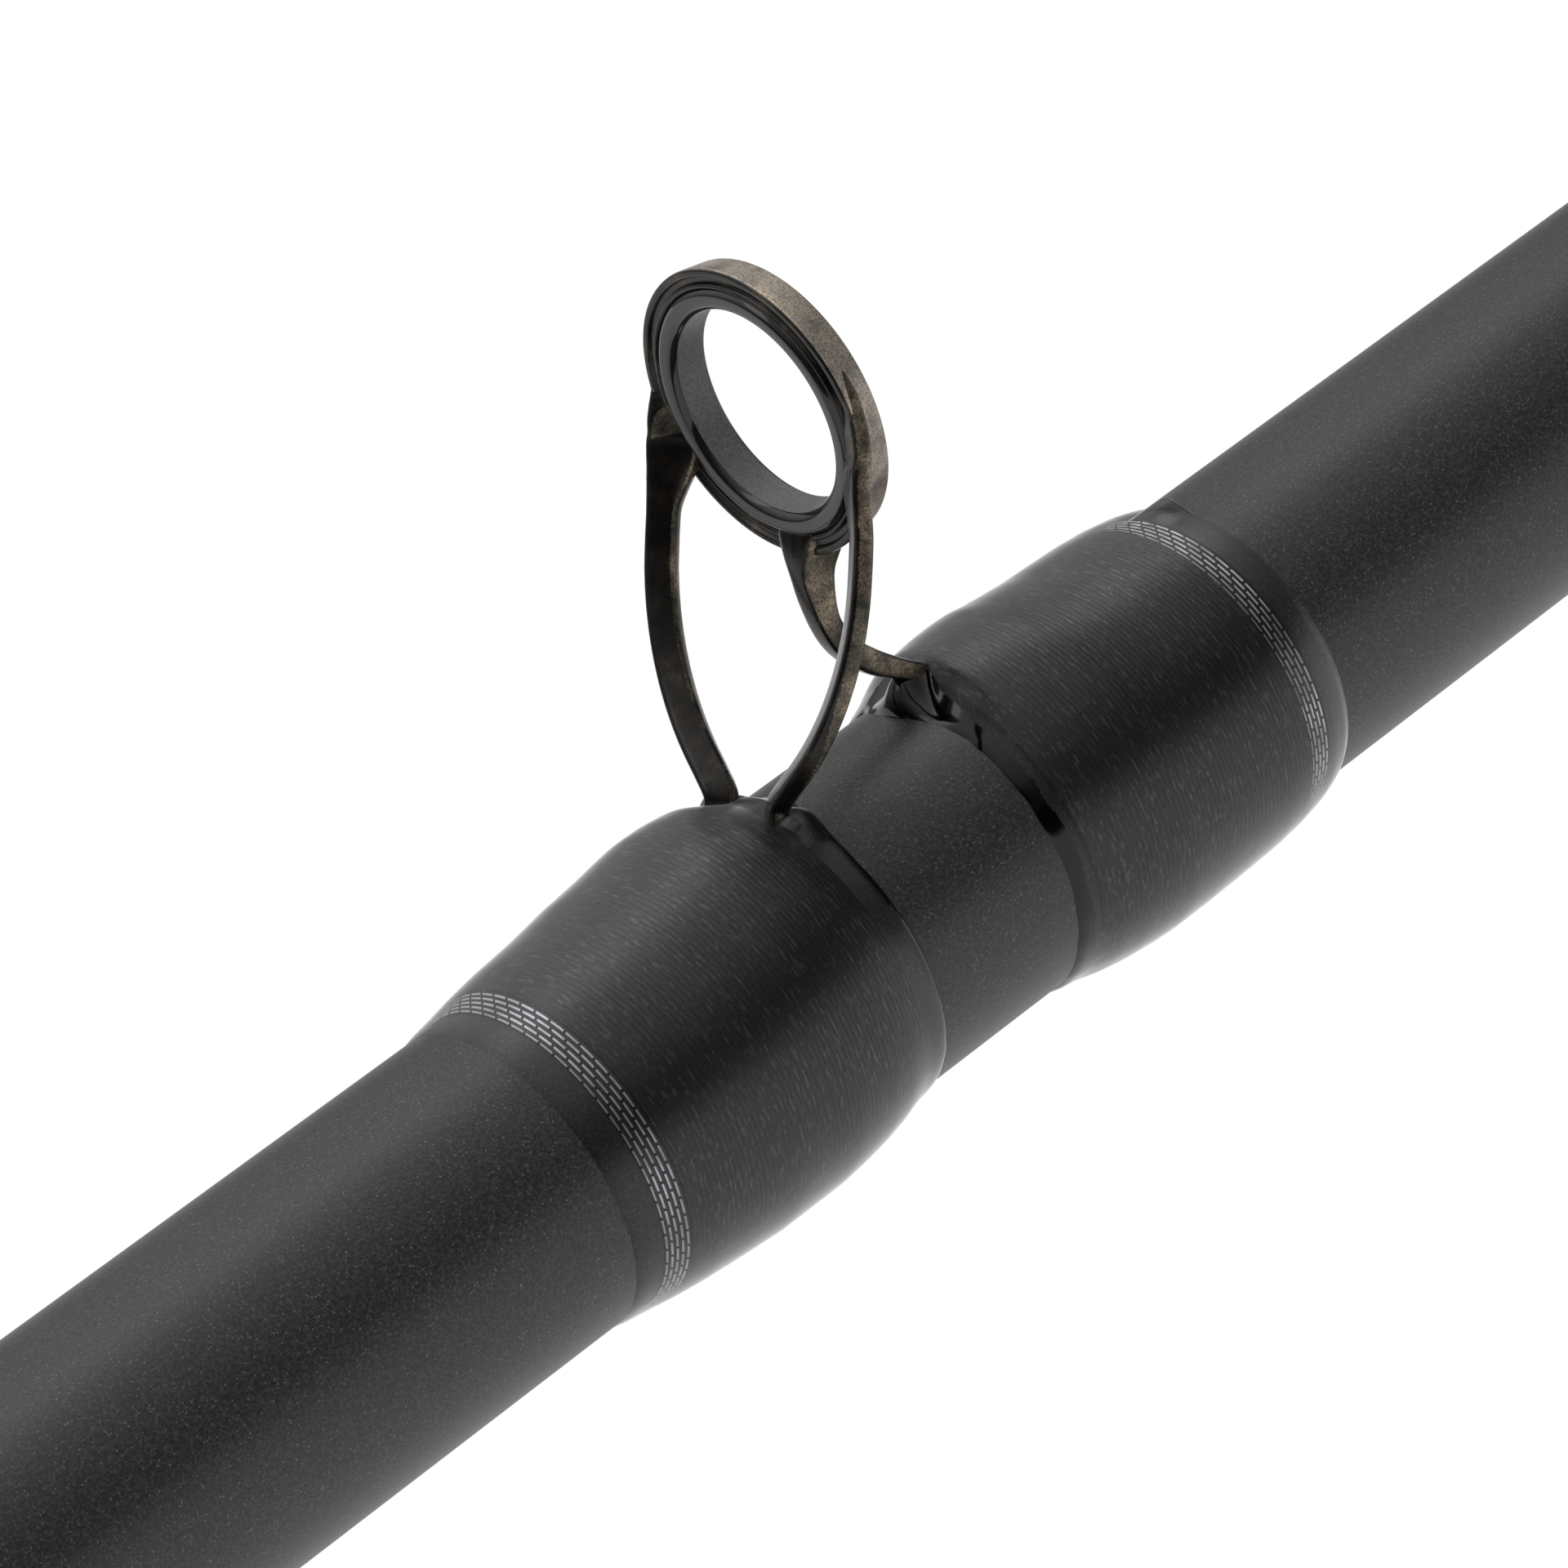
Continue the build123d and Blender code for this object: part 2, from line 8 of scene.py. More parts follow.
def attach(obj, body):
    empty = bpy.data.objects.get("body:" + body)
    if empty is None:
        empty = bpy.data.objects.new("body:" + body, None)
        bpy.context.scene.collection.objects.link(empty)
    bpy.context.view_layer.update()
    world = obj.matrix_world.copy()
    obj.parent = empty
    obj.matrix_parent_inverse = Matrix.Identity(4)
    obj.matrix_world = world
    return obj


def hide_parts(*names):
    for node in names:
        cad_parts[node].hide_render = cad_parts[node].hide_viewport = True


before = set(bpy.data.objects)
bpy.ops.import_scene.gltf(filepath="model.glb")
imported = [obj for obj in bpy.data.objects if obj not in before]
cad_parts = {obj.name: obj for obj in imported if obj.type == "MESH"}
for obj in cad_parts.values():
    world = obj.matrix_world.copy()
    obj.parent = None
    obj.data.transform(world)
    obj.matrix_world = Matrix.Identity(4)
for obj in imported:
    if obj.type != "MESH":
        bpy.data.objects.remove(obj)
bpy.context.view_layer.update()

MM = 0.001

# Blank, millimetres, x along the rod
BLANK_START = 4.0
FERRULE_X = 1090.0
SPIGOT_END = 1150.0
TIP_SHOULDER_X = 1400.0
BLANK_END = 2122.0
BUTT_OD = 13.9
BUTT_TAPER = 0.004
BUTT_WALL = 1.3
FERRULE_GAP = 0.05
FERRULE_WALL = 0.85
TIP_SHOULDER_OD = 8.5
TIP_END_OD = 2.7

# Guides: place along the rod, size, wrap size
GUIDES = [
    (760.0, 2.5, 1.40),
    (885.0, 1.5, 1.20),
    (1000.0, 1.0, 1.00),
    (1205.0, 1.0, 1.00),
    (1405.0, 0.86, 0.90),
    (1600.0, 0.76, 0.80),
    (1785.0, 0.68, 0.70),
    (1960.0, 0.62, 0.62),
]
BUTT_GUIDES = 3
# The guide in front of the camera, made with the most detail
HERO = 3

# Guide of size 1: heights from the blank's surface, x from the ring's face
RING_LIFT = 10.7
RING_TILT = 0.04
RING_BORE_R = 3.275
RING_OUT_R = 3.97
RING_DEPTH = 1.36
CUP_FRONT_R = 4.62
CUP_BACK_R = 4.46
CUP_DEPTH = 1.15
LEG_SLOPE = math.radians(28.3)
LEG_HALF_GAP = 4.53
LEG_STRAIGHT = 4.55
LEG_BEND_R = 8.7
LEG_BEND_END = 10.8
LEG_SPLAY = math.radians(28)
LEG_WIDE = 1.0
LEG_THIN = 0.60
STRUT_LINE = [
    (0.5, 6.6), (0.05, 5.6), (-0.18, 4.6), (-0.2, 3.7),
    (0.08, 2.85), (0.69, 2.03), (1.5, 1.30), (2.7, 0.35),
]
FOOT_THICK = 0.45
REAR_FOOT = (-4.2, -13.4)
FRONT_FOOT = (1.1, 9.6)

# Thread wraps of size 1 and their epoxy
REAR_WRAP = (-14.78, -5.1)
FRONT_WRAP = (2.2, 10.97)
THREAD = 0.18
UNDERWRAP = 0.36
STRANDS = 5
BAND_LENGTH = 0.92
EPOXY_MAX = 0.74
# Epoxy heights, as distances and the heights there: over each foot, then in from the coat's ends
REAR_LIFT = (
    [-0.9, 0.2, 1.1, 2.0, 2.8, 3.6, 4.4, 5.3, 6.3, 7.2],
    [0, 0.32, 0.62, 0.63, 0.57, 0.44, 0.30, 0.18, 0.07, 0],
)
FRONT_LIFT = ([-0.8, 0.4, 1.2, 2.1, 2.9, 3.7, 4.6, 5.6], [0, 0.66, 0.55, 0.47, 0.38, 0.22, 0.10, 0])
INNER_RISE = ([0, 0.12, 0.9, 1.75, 2.6, 3.5, 4.3], [0, 0.10, 0.21, 0.43, 0.58, 0.68, EPOXY_MAX])
REAR_TAPER = ([0, 0.25, 1.0, 2.0, 3.0, 4.5, 6.0], [0, 0.09, 0.20, 0.37, 0.50, 0.63, EPOXY_MAX])
FRONT_TAPER = ([0, 0.3, 1.0, 2.0, 3.0, 4.5, 6.0], [0, 0.22, 0.42, 0.58, 0.66, 0.71, EPOXY_MAX])

# Foil bands of the ferrule and the tip-top: start, height on the blank, length
FERRULE_BAND = (FERRULE_X + 24, UNDERWRAP, BAND_LENGTH)
TIPTOP_BAND = (2103.43, THREAD, 0.62 * BAND_LENGTH)

# Handle: where each foam grip lies, and (x, radius) along its shaped part
GRIP_START = 20.0
GRIP_END = 276.0
GRIP_R = 14.0
REAR_GRIP_TOP = [(226.0, GRIP_R), (240.0, 13.2), (254.0, 12.25), (266.0, 12.3), (GRIP_END, 12.9)]
FORE_START = 424.0
FORE_END = 536.0
FORE_GRIP_TOP = [(FORE_START, 13.4), (440.0, 14.2), (470.0, 13.6), (505.0, 11.2), (FORE_END, 9.4)]

# Thread materials: pitches in metres along the rod, dashes per turn
FIBRE_PITCH = 0.00006
FOIL_PITCH = 0.000184
FOIL_DASHES = 54.0

# Floor, metres
FLOOR_Z = -0.25
FLOOR_HALF = 60.0

# Camera: place in metres, its directions, its lens
CAMERA_PLACE = (0.8733592, -0.1902483, 0.1081377)
CAMERA_RIGHT = (0.7019, -0.6318, -0.3287)
CAMERA_AHEAD = (0.4946, 0.7645, -0.4133)
CAMERA_SENSOR_MM = 36.0
CAMERA_LENS_MM = 196.897


def smooth(a, b, t):
    """0 before a, 1 after b, eased between; works on arrays."""
    u = np.clip((np.asarray(t, float) - a) / (b - a), 0.0, 1.0)
    return u * u * (3 - 2 * u)


def spigot_r(x):
    """Outer radius of the butt section, also inside the ferrule."""
    return (BUTT_OD - BUTT_TAPER * x) / 2


def blank_r(x):
    """Outer radius of the blank that shows at x."""
    x = np.asarray(x, float)
    start = spigot_r(FERRULE_X) + FERRULE_GAP + FERRULE_WALL
    share = (x - FERRULE_X) / (TIP_SHOULDER_X - FERRULE_X)
    middle = start + share * (TIP_SHOULDER_OD / 2 - start)
    share = (x - TIP_SHOULDER_X) / (BLANK_END - TIP_SHOULDER_X)
    far = (TIP_SHOULDER_OD + share * (TIP_END_OD - TIP_SHOULDER_OD)) / 2
    return np.where(x < FERRULE_X, spigot_r(x), np.where(x < TIP_SHOULDER_X, middle, far))


# ------------------------------------------------------------------ mesh helpers
def outward(verts, faces):
    """The faces, all turned over if they look inwards."""
    v = np.asarray(verts, float)
    v = v - v.mean(0)
    volume = 0.0
    for count in (3, 4):
        group = np.array([f for f in faces if len(f) == count], dtype=int)
        if len(group) == 0:
            continue
        for k in range(1, count - 1):
            a, b, c = v[group[:, 0]], v[group[:, k]], v[group[:, k + 1]]
            volume += (a * np.cross(b, c)).sum()
    return [tuple(f) if volume > 0 else tuple(f)[::-1] for f in faces]


def mesh_from(name, verts, faces, scale=MM):
    """Smooth-shaded object from vertices and faces; the vertices are in mm unless scale says otherwise."""
    faces = outward(verts, faces)
    mesh = bpy.data.meshes.new(name)
    mesh.from_pydata((np.asarray(verts, float) * scale).tolist(), [], faces)
    mesh.update()
    mesh.polygons.foreach_set("use_smooth", [True] * len(mesh.polygons))
    obj = bpy.data.objects.new(name, mesh)
    bpy.context.scene.collection.objects.link(obj)
    return obj


def grid_faces(rows, cols, wrap_rows=False):
    """Quads of a grid that is closed round its columns, and round its rows if asked."""
    i = np.arange(rows if wrap_rows else rows - 1)
    j = np.arange(cols)
    a = (i[:, None] % rows) * cols + j[None, :]
    b = (i[:, None] % rows) * cols + (j[None, :] + 1) % cols
    c = ((i[:, None] + 1) % rows) * cols + (j[None, :] + 1) % cols
    d = ((i[:, None] + 1) % rows) * cols + j[None, :]
    return np.stack([a, b, c, d], -1).reshape(-1, 4).tolist()


def lathe(profile, cols=192):
    """Vertices and faces turned about the rod's axis from (x, radius) points; the outline closes."""
    profile = np.asarray(profile, float)
    angle = np.linspace(0, 2 * math.pi, cols, endpoint=False)
    x = np.repeat(profile[:, 0][:, None], cols, 1)
    y = profile[:, 1][:, None] * np.sin(angle)[None, :]
    z = profile[:, 1][:, None] * np.cos(angle)[None, :]
    verts = np.stack([x, y, z], -1).reshape(-1, 3)
    return verts, grid_faces(len(profile), cols, wrap_rows=True)


def rounded(points, radius, steps=5):
    """Closed outline with its corners rounded; radius is one number or one per corner."""
    pts = [np.array(p, float) for p in points]
    radii = radius if hasattr(radius, "__len__") else [radius] * len(pts)
    out = []
    for i, p in enumerate(pts):
        a = pts[i - 1] - p
        b = pts[(i + 1) % len(pts)] - p
        la, lb = np.linalg.norm(a), np.linalg.norm(b)
        if radii[i] <= 0 or la < 1e-9 or lb < 1e-9:
            out.append(p)
            continue
        cut = min(radii[i], 0.45 * la, 0.45 * lb)
        p0 = p + a / la * cut
        p1 = p + b / lb * cut
        for t in np.linspace(0, 1, steps):
            out.append((1 - t) ** 2 * p0 + 2 * t * (1 - t) * p + t * t * p1)
    return np.array(out)


def strip(path, wide_dir, wide, thin, sides=20, power=4.0):
    """Closed bar along a path, its section a rounded rectangle."""
    path = np.asarray(path, float)
    count = len(path)
    wide = np.broadcast_to(np.asarray(wide, float), (count,))
    thin = np.broadcast_to(np.asarray(thin, float), (count,))
    wide_dir = np.broadcast_to(np.asarray(wide_dir, float), (count, 3))
    tangent = np.gradient(path, axis=0)
    tangent /= np.linalg.norm(tangent, axis=1)[:, None]
    e1 = wide_dir - (wide_dir * tangent).sum(1)[:, None] * tangent
    e1 /= np.linalg.norm(e1, axis=1)[:, None]
    e2 = np.cross(tangent, e1)
    a = np.linspace(0, 2 * math.pi, sides, endpoint=False)
    ca = np.sign(np.cos(a)) * np.abs(np.cos(a)) ** (2 / power)
    sa = np.sign(np.sin(a)) * np.abs(np.sin(a)) ** (2 / power)
    ring = (
        path[:, None, :]
        + e1[:, None, :] * (ca[None, :, None] * wide[:, None, None] / 2)
        + e2[:, None, :] * (sa[None, :, None] * thin[:, None, None] / 2)
    )
    verts = np.concatenate([ring.reshape(-1, 3), path[:1], path[-1:]])
    faces = grid_faces(count, sides)
    first, last = count * sides, count * sides + 1
    for j in range(sides):
        n = (j + 1) % sides
        faces.append((first, n, j))
        faces.append((last, (count - 1) * sides + j, (count - 1) * sides + n))
    return verts, faces


def merge(parts):
    """One vertex list and face list from several."""
    verts, faces, start = [], [], 0
    for v, f in parts:
        verts.append(np.asarray(v, float))
        faces += [tuple(i + start for i in face) for face in outward(v, f)]
        start += len(v)
    return np.concatenate(verts), faces


def fused(name, parts, voxel, smoothing):
    """The parts joined into one skin with small fillets where they meet; mm in, object out."""
    verts, faces = merge(parts)
    raw = mesh_from(name + "_raw", verts, faces, scale=1.0)
    remesh = raw.modifiers.new("join", "REMESH")
    remesh.mode = "VOXEL"
    remesh.voxel_size = voxel
    remesh.use_smooth_shade = True
    soften = raw.modifiers.new("soften", "SMOOTH")
    soften.factor = 0.5
    soften.iterations = smoothing
    graph = bpy.context.evaluated_depsgraph_get()
    mesh = bpy.data.meshes.new_from_object(raw.evaluated_get(graph), depsgraph=graph)
    mesh.transform(Matrix.Scale(MM, 4))
    mesh.polygons.foreach_set("use_smooth", [True] * len(mesh.polygons))
    mesh.name = name
    old = raw.data
    bpy.data.objects.remove(raw)
    bpy.data.meshes.remove(old)
    obj = bpy.data.objects.new(name, mesh)
    bpy.context.scene.collection.objects.link(obj)
    return obj


def curve_points(points, count):
    """Smooth line through a few points, evenly spread."""
    pts = np.asarray(points, float)
    ext = np.concatenate([[2 * pts[0] - pts[1]], pts, [2 * pts[-1] - pts[-2]]])
    out = []
    per = max(2, count // (len(pts) - 1))
    for i in range(1, len(ext) - 2):
        p0, p1, p2, p3 = ext[i - 1 : i + 3]
        square = 2 * p0 - 5 * p1 + 4 * p2 - p3
        cube = 3 * p1 - p0 - 3 * p2 + p3
        for t in np.linspace(0, 1, per, endpoint=i == len(ext) - 3):
            out.append(0.5 * (2 * p1 + (p2 - p0) * t + square * t * t + cube * t ** 3))
    return np.array(out)


def join_objects(objs, name):
    """Joins finished meshes (with their materials) into one object."""
    bpy.ops.object.select_all(action="DESELECT")
    for o in objs:
        o.select_set(True)
    bpy.context.view_layer.objects.active = objs[0]
    bpy.ops.object.join()
    objs[0].name = name
    objs[0].data.name = name
    return objs[0]


# ------------------------------------------------------------------ materials
class Nodes:
    """Short calls for building a node material."""

    def __init__(self, name):
        self.mat = bpy.data.materials.new(name)
        self.mat.use_nodes = True
        self.tree = self.mat.node_tree
        self.tree.nodes.clear()
        self.out = self.tree.nodes.new("ShaderNodeOutputMaterial")
        self.coord = self.add("ShaderNodeTexCoord").outputs["Object"]

    def add(self, kind, **props):
        node = self.tree.nodes.new(kind)
        for key, value in props.items():
            setattr(node, key, value)
        return node

    def put(self, socket, value):
        if isinstance(value, bpy.types.NodeSocket):
            self.tree.links.new(value, socket)
        else:
            socket.default_value = value

    def math(self, op, a, b=0.0, c=0.0):
        node = self.add("ShaderNodeMath", operation=op)
        for socket, value in zip(node.inputs, (a, b, c)):
            self.put(socket, value)
        return node.outputs[0]

    def noise(self, scale, detail=2.0, rough=0.5, vector=None):
        node = self.add("ShaderNodeTexNoise")
        self.put(node.inputs["Vector"], vector or self.coord)
        node.inputs["Scale"].default_value = scale
        node.inputs["Detail"].default_value = detail
        node.inputs["Roughness"].default_value = rough
        return node.outputs["Fac"]

    def cells(self, scale):
        node = self.add("ShaderNodeTexVoronoi")
        self.put(node.inputs["Vector"], self.coord)
        node.inputs["Scale"].default_value = scale
        return node.outputs

    def ramp(self, value, stops):
        node = self.add("ShaderNodeValToRGB")
        self.put(node.inputs["Fac"], value)
        while len(node.color_ramp.elements) < len(stops):
            node.color_ramp.elements.new(0.5)
        for element, (place, colour) in zip(node.color_ramp.elements, stops):
            element.position = place
            if not hasattr(colour, "__len__"):
                colour = (colour, colour, colour)
            element.color = (*colour, 1)
        return node.outputs["Color"]

    def mix(self, share, a, b):
        node = self.add("ShaderNodeMix", data_type="RGBA")
        self.put(node.inputs[0], share)
        for socket, value in ((node.inputs[6], a), (node.inputs[7], b)):
            self.put(socket, (*value, 1) if isinstance(value, tuple) and len(value) == 3 else value)
        return node.outputs[2]

    def bump(self, height, strength, distance, normal=None):
        node = self.add("ShaderNodeBump")
        node.inputs["Strength"].default_value = strength
        node.inputs["Distance"].default_value = distance
        self.put(node.inputs["Height"], height)
        if normal is not None:
            self.put(node.inputs["Normal"], normal)
        return node.outputs["Normal"]

    def axis_parts(self):
        """x along the rod and the angle round it, in turns."""
        split = self.add("ShaderNodeSeparateXYZ")
        self.put(split.inputs[0], self.coord)
        angle = self.math("ARCTAN2", split.outputs["Y"], split.outputs["Z"])
        return split.outputs["X"], self.math("DIVIDE", angle, 2 * math.pi)

    def vector(self, x, y, z=0.0):
        node = self.add("ShaderNodeCombineXYZ")
        for socket, value in zip(node.inputs, (x, y, z)):
            self.put(socket, value)
        return node.outputs[0]

    def surface(self, colour, roughness, normal=None, **more):
        node = self.add("ShaderNodeBsdfPrincipled")
        if isinstance(colour, tuple) and len(colour) == 3:
            colour = (*colour, 1)
        self.put(node.inputs["Base Color"], colour)
        self.put(node.inputs["Roughness"], roughness)
        if normal is not None:
            self.put(node.inputs["Normal"], normal)
        for key, value in more.items():
            self.put(node.inputs[key.replace("_", " ")], value)
        self.tree.links.new(node.outputs[0], self.out.inputs["Surface"])
        return self.mat


def blank_material():
    """Matte graphite with rare pale flecks painted into the colour as sparkle glints."""
    n = Nodes("blank_graphite")
    large = n.noise(60.0, 3)
    base = n.ramp(large, [(0.3, (0.0085, 0.0095, 0.0092)), (0.7, (0.0115, 0.0125, 0.0105))])
    fine = n.noise(10500.0, 2, 0.7)
    base = n.mix(n.ramp(fine, [(0.44, 0.0), (0.66, 1.0)]), base, (0.043, 0.046, 0.040))
    # Rare pale flecks: painted glints standing in for the sparkle of the finish
    cells = n.cells(10000.0)
    small = n.math("LESS_THAN", cells["Distance"], 0.27)
    split = n.add("ShaderNodeSeparateColor")
    n.put(split.inputs[0], cells["Color"])
    rare = n.math("GREATER_THAN", split.outputs[0], 0.62)
    fleck = n.math("MULTIPLY", small, rare)
    painted_fleck_glint = n.math("MULTIPLY", fleck, split.outputs[1])
    base = n.mix(n.math("MULTIPLY", painted_fleck_glint, 0.42), base, (0.30, 0.33, 0.31))
    rough = n.math("MULTIPLY_ADD", fine, 0.16, 0.36)
    normal = n.bump(fine, 0.30, 0.00002)
    return n.surface(base, rough, normal, Specular_IOR_Level=0.5)


def thread_material():
    """Dark twisted thread laid round the rod, with light fibres along it."""
    n = Nodes("wrap_thread")
    x, turn = n.axis_parts()
    row = n.math("FLOOR", n.math("ADD", n.math("DIVIDE", x, FIBRE_PITCH), turn))
    place = n.vector(n.math("MULTIPLY", row, 7.31), n.math("MULTIPLY", turn, 58.0))
    streak = n.noise(1.0, 2, 0.6, place)
    broad = n.noise(420.0, 2)
    base = n.ramp(broad, [(0.3, (0.0160, 0.0165, 0.0200)), (0.7, (0.0230, 0.0235, 0.0280))])
    base = n.mix(n.ramp(streak, [(0.54, 0.0), (0.70, 0.95)]), base, (0.120, 0.123, 0.138))
    normal = n.bump(streak, 0.35, 0.00004)
    return n.surface(base, 0.42, normal, Specular_IOR_Level=0.3)


def foil_material():
    """Dashes of silver foil twisted round a dark strand, painted pure white on a narrow line along each
    crest: silver foil with a painted highlight that stays bright at every angle.
    """
    n = Nodes("foil_thread")
    x, turn = n.axis_parts()
    place = n.math("DIVIDE", x, FOIL_PITCH)
    row = n.math("FLOOR", place)
    shift = n.math("MULTIPLY", row, 0.618)
    along = n.math("FRACT", n.math("ADD", n.math("MULTIPLY", turn, FOIL_DASHES), shift))
    across = n.math("ABSOLUTE", n.math("SUBTRACT", n.math("FRACT", place), 0.5))
    # Each dash is white only on a narrow line along the strand's crest: a painted highlight of the round
    # foil strand
    foil_dash_highlight = n.math("MULTIPLY", n.math("LESS_THAN", along, 0.83), n.math("LESS_THAN", across, 0.12))
    wear = n.noise(900.0, 2)
    foil_dash_highlight = n.math("MULTIPLY", foil_dash_highlight, n.ramp(wear, [(0.35, 0.55), (0.6, 1.0)]))
    base = n.mix(foil_dash_highlight, (0.008, 0.008, 0.010), (1.0, 1.0, 1.0))
    rough = n.math("MULTIPLY_ADD", foil_dash_highlight, -0.08, 0.40)
    return n.surface(base, rough, Metallic=n.math("MULTIPLY", foil_dash_highlight, 0.5))


def frame_material(finish="plain"):
    """Dark smoke-plated metal; one finish is the ring's tan frosted outer face, made lighter with painted
    overhead light; another is painted tan and golden highlights on the sides of the legs.
    """
    n = Nodes("smoke_metal_" + finish)
    patches = n.noise(900.0, 4, 0.65)
    grain = n.noise(16000.0, 3, 0.6)
    if finish == "side_highlight":
        # Painted highlight: tan and golden tones standing in for light on the leg sides
        tones = [(0.34, (0.022, 0.019, 0.015)), (0.52, (0.14, 0.115, 0.085)), (0.75, (0.42, 0.33, 0.22))]
        base = n.ramp(patches, tones)
        base = n.mix(n.ramp(grain, [(0.45, 0.0), (0.6, 0.75)]), base, (0.020, 0.018, 0.015))
        return n.surface(base, 0.34, n.bump(grain, 0.5, 0.00002), Metallic=0.6)
    if finish == "frosted_and_lit":
        # Tan frosted tones, made lighter to paint in the overhead light on the ring's outer face
        tones = [(0.30, (0.17, 0.15, 0.13)), (0.50, (0.42, 0.37, 0.31)), (0.75, (0.62, 0.50, 0.36))]
        base = n.ramp(patches, tones)
        base = n.mix(n.ramp(grain, [(0.45, 0.0), (0.62, 0.6)]), base, (0.05, 0.042, 0.035))
        return n.surface(base, 0.40, n.bump(grain, 0.5, 0.00002), Metallic=0.5)
    tones = [(0.40, (0.009, 0.008, 0.007)), (0.58, (0.024, 0.020, 0.016)), (0.78, (0.10, 0.080, 0.055))]
    base = n.ramp(patches, tones)
    base = n.mix(n.ramp(grain, [(0.45, 0.0), (0.7, 0.6)]), base, (0.012, 0.011, 0.010))
    rough = n.math("MULTIPLY_ADD", patches, 0.2, 0.12)
    return n.surface(base, rough, n.bump(grain, 0.3, 0.00001), Metallic=0.6)


def ceramic_material(inner):
    """Polished black, or the greyer ground face of the bore."""
    n = Nodes("ceramic_bore" if inner else "ceramic_black")
    grain = n.noise(14000.0, 3, 0.6)
    if inner:
        base = n.ramp(grain, [(0.35, (0.075, 0.078, 0.074)), (0.65, (0.15, 0.155, 0.148))])
        return n.surface(base, 0.5, n.bump(grain, 0.5, 0.00002))
    base = n.ramp(grain, [(0.3, (0.006, 0.006, 0.008)), (0.7, (0.011, 0.011, 0.014))])
    return n.surface(base, n.math("MULTIPLY_ADD", grain, 0.06, 0.07), n.bump(grain, 0.03, 0.00001))


def epoxy_material(dark=False):
    """Clear coat seen by its reflections; the dark one, on the coat's inner edge, is tinted near black as
    a painted reflection of the dark surroundings.
    """
    n = Nodes("epoxy_dark_reflection" if dark else "clear_epoxy")
    wave = n.noise(350.0, 2, 0.5)
    fine = n.noise(2600.0, 2, 0.5)
    normal = n.bump(fine, 0.02, 0.00003, n.bump(wave, 0.12, 0.00008))
    fresnel = n.add("ShaderNodeFresnel")
    fresnel.inputs["IOR"].default_value = 1.42
    n.put(fresnel.inputs["Normal"], normal)
    gloss = n.add("ShaderNodeBsdfGlossy")
    gloss.inputs["Color"].default_value = (1, 1, 1, 1)
    n.put(gloss.inputs["Roughness"], n.math("MULTIPLY_ADD", wave, 0.10, 0.04 if dark else 0.30))
    n.put(gloss.inputs["Normal"], normal)
    clear = n.add("ShaderNodeBsdfTransparent")
    # The near-black tint is a painted reflection: the edge's dark look put into the coat's colour
    clear.inputs["Color"].default_value = (0.10, 0.10, 0.105, 1) if dark else (0.88, 0.89, 0.91, 1)
    mixed = n.add("ShaderNodeMixShader")
    n.put(mixed.inputs[0], fresnel.outputs[0])
    n.put(mixed.inputs[1], clear.outputs[0])
    n.put(mixed.inputs[2], gloss.outputs[0])
    n.tree.links.new(mixed.outputs[0], n.out.inputs["Surface"])
    return n.mat


def foam_material():
    """Black foam with fine pores, darkened at their centres as painted shade in the hollows, and soft
    wear.
    """
    n = Nodes("grip_foam")
    cells = n.cells(1500.0)
    wear = n.noise(40.0, 4, 0.6)
    base = n.ramp(wear, [(0.3, (0.022, 0.022, 0.023)), (0.75, (0.045, 0.045, 0.046))])
    pores = n.ramp(cells["Distance"], [(0.0, 0.0), (0.35, 1.0)])
    # Pore centres darkened: painted shade inside the pores
    base = n.mix(n.math("MULTIPLY", n.math("SUBTRACT", 1.0, pores), 0.5), base, (0.008, 0.008, 0.008))
    return n.surface(base, 0.85, n.bump(pores, 0.35, 0.0001), Specular_IOR_Level=0.3)


def rubber_material():
    """Matt black rubber with a fine grain."""
    n = Nodes("black_rubber")
    grain = n.noise(2200.0, 3)
    base = n.ramp(grain, [(0.3, (0.016, 0.016, 0.016)), (0.7, (0.030, 0.030, 0.030))])
    return n.surface(base, 0.62, n.bump(grain, 0.3, 0.00005))


def moulded_material(name, low, high, rough):
    """Moulded plastic between two tones."""
    n = Nodes(name)
    grain = n.noise(3000.0, 2)
    smear = n.noise(90.0, 3)
    base = n.ramp(smear, [(0.3, low), (0.7, high)])
    return n.surface(base, n.math("MULTIPLY_ADD", smear, 0.15, rough), n.bump(grain, 0.12, 0.00003))


def anodised_material():
    """Dark aluminium with fine turning lines."""
    n = Nodes("dark_anodised")
    x, turn = n.axis_parts()
    place = n.vector(n.math("MULTIPLY", x, 9000.0), n.math("MULTIPLY", turn, 3.0))
    lines = n.noise(1.0, 2, 0.5, place)
    base = n.ramp(lines, [(0.3, (0.10, 0.10, 0.105)), (0.7, (0.17, 0.17, 0.175))])
    rough = n.math("MULTIPLY_ADD", lines, 0.2, 0.22)
    return n.surface(base, rough, n.bump(lines, 0.1, 0.00002), Metallic=0.9)


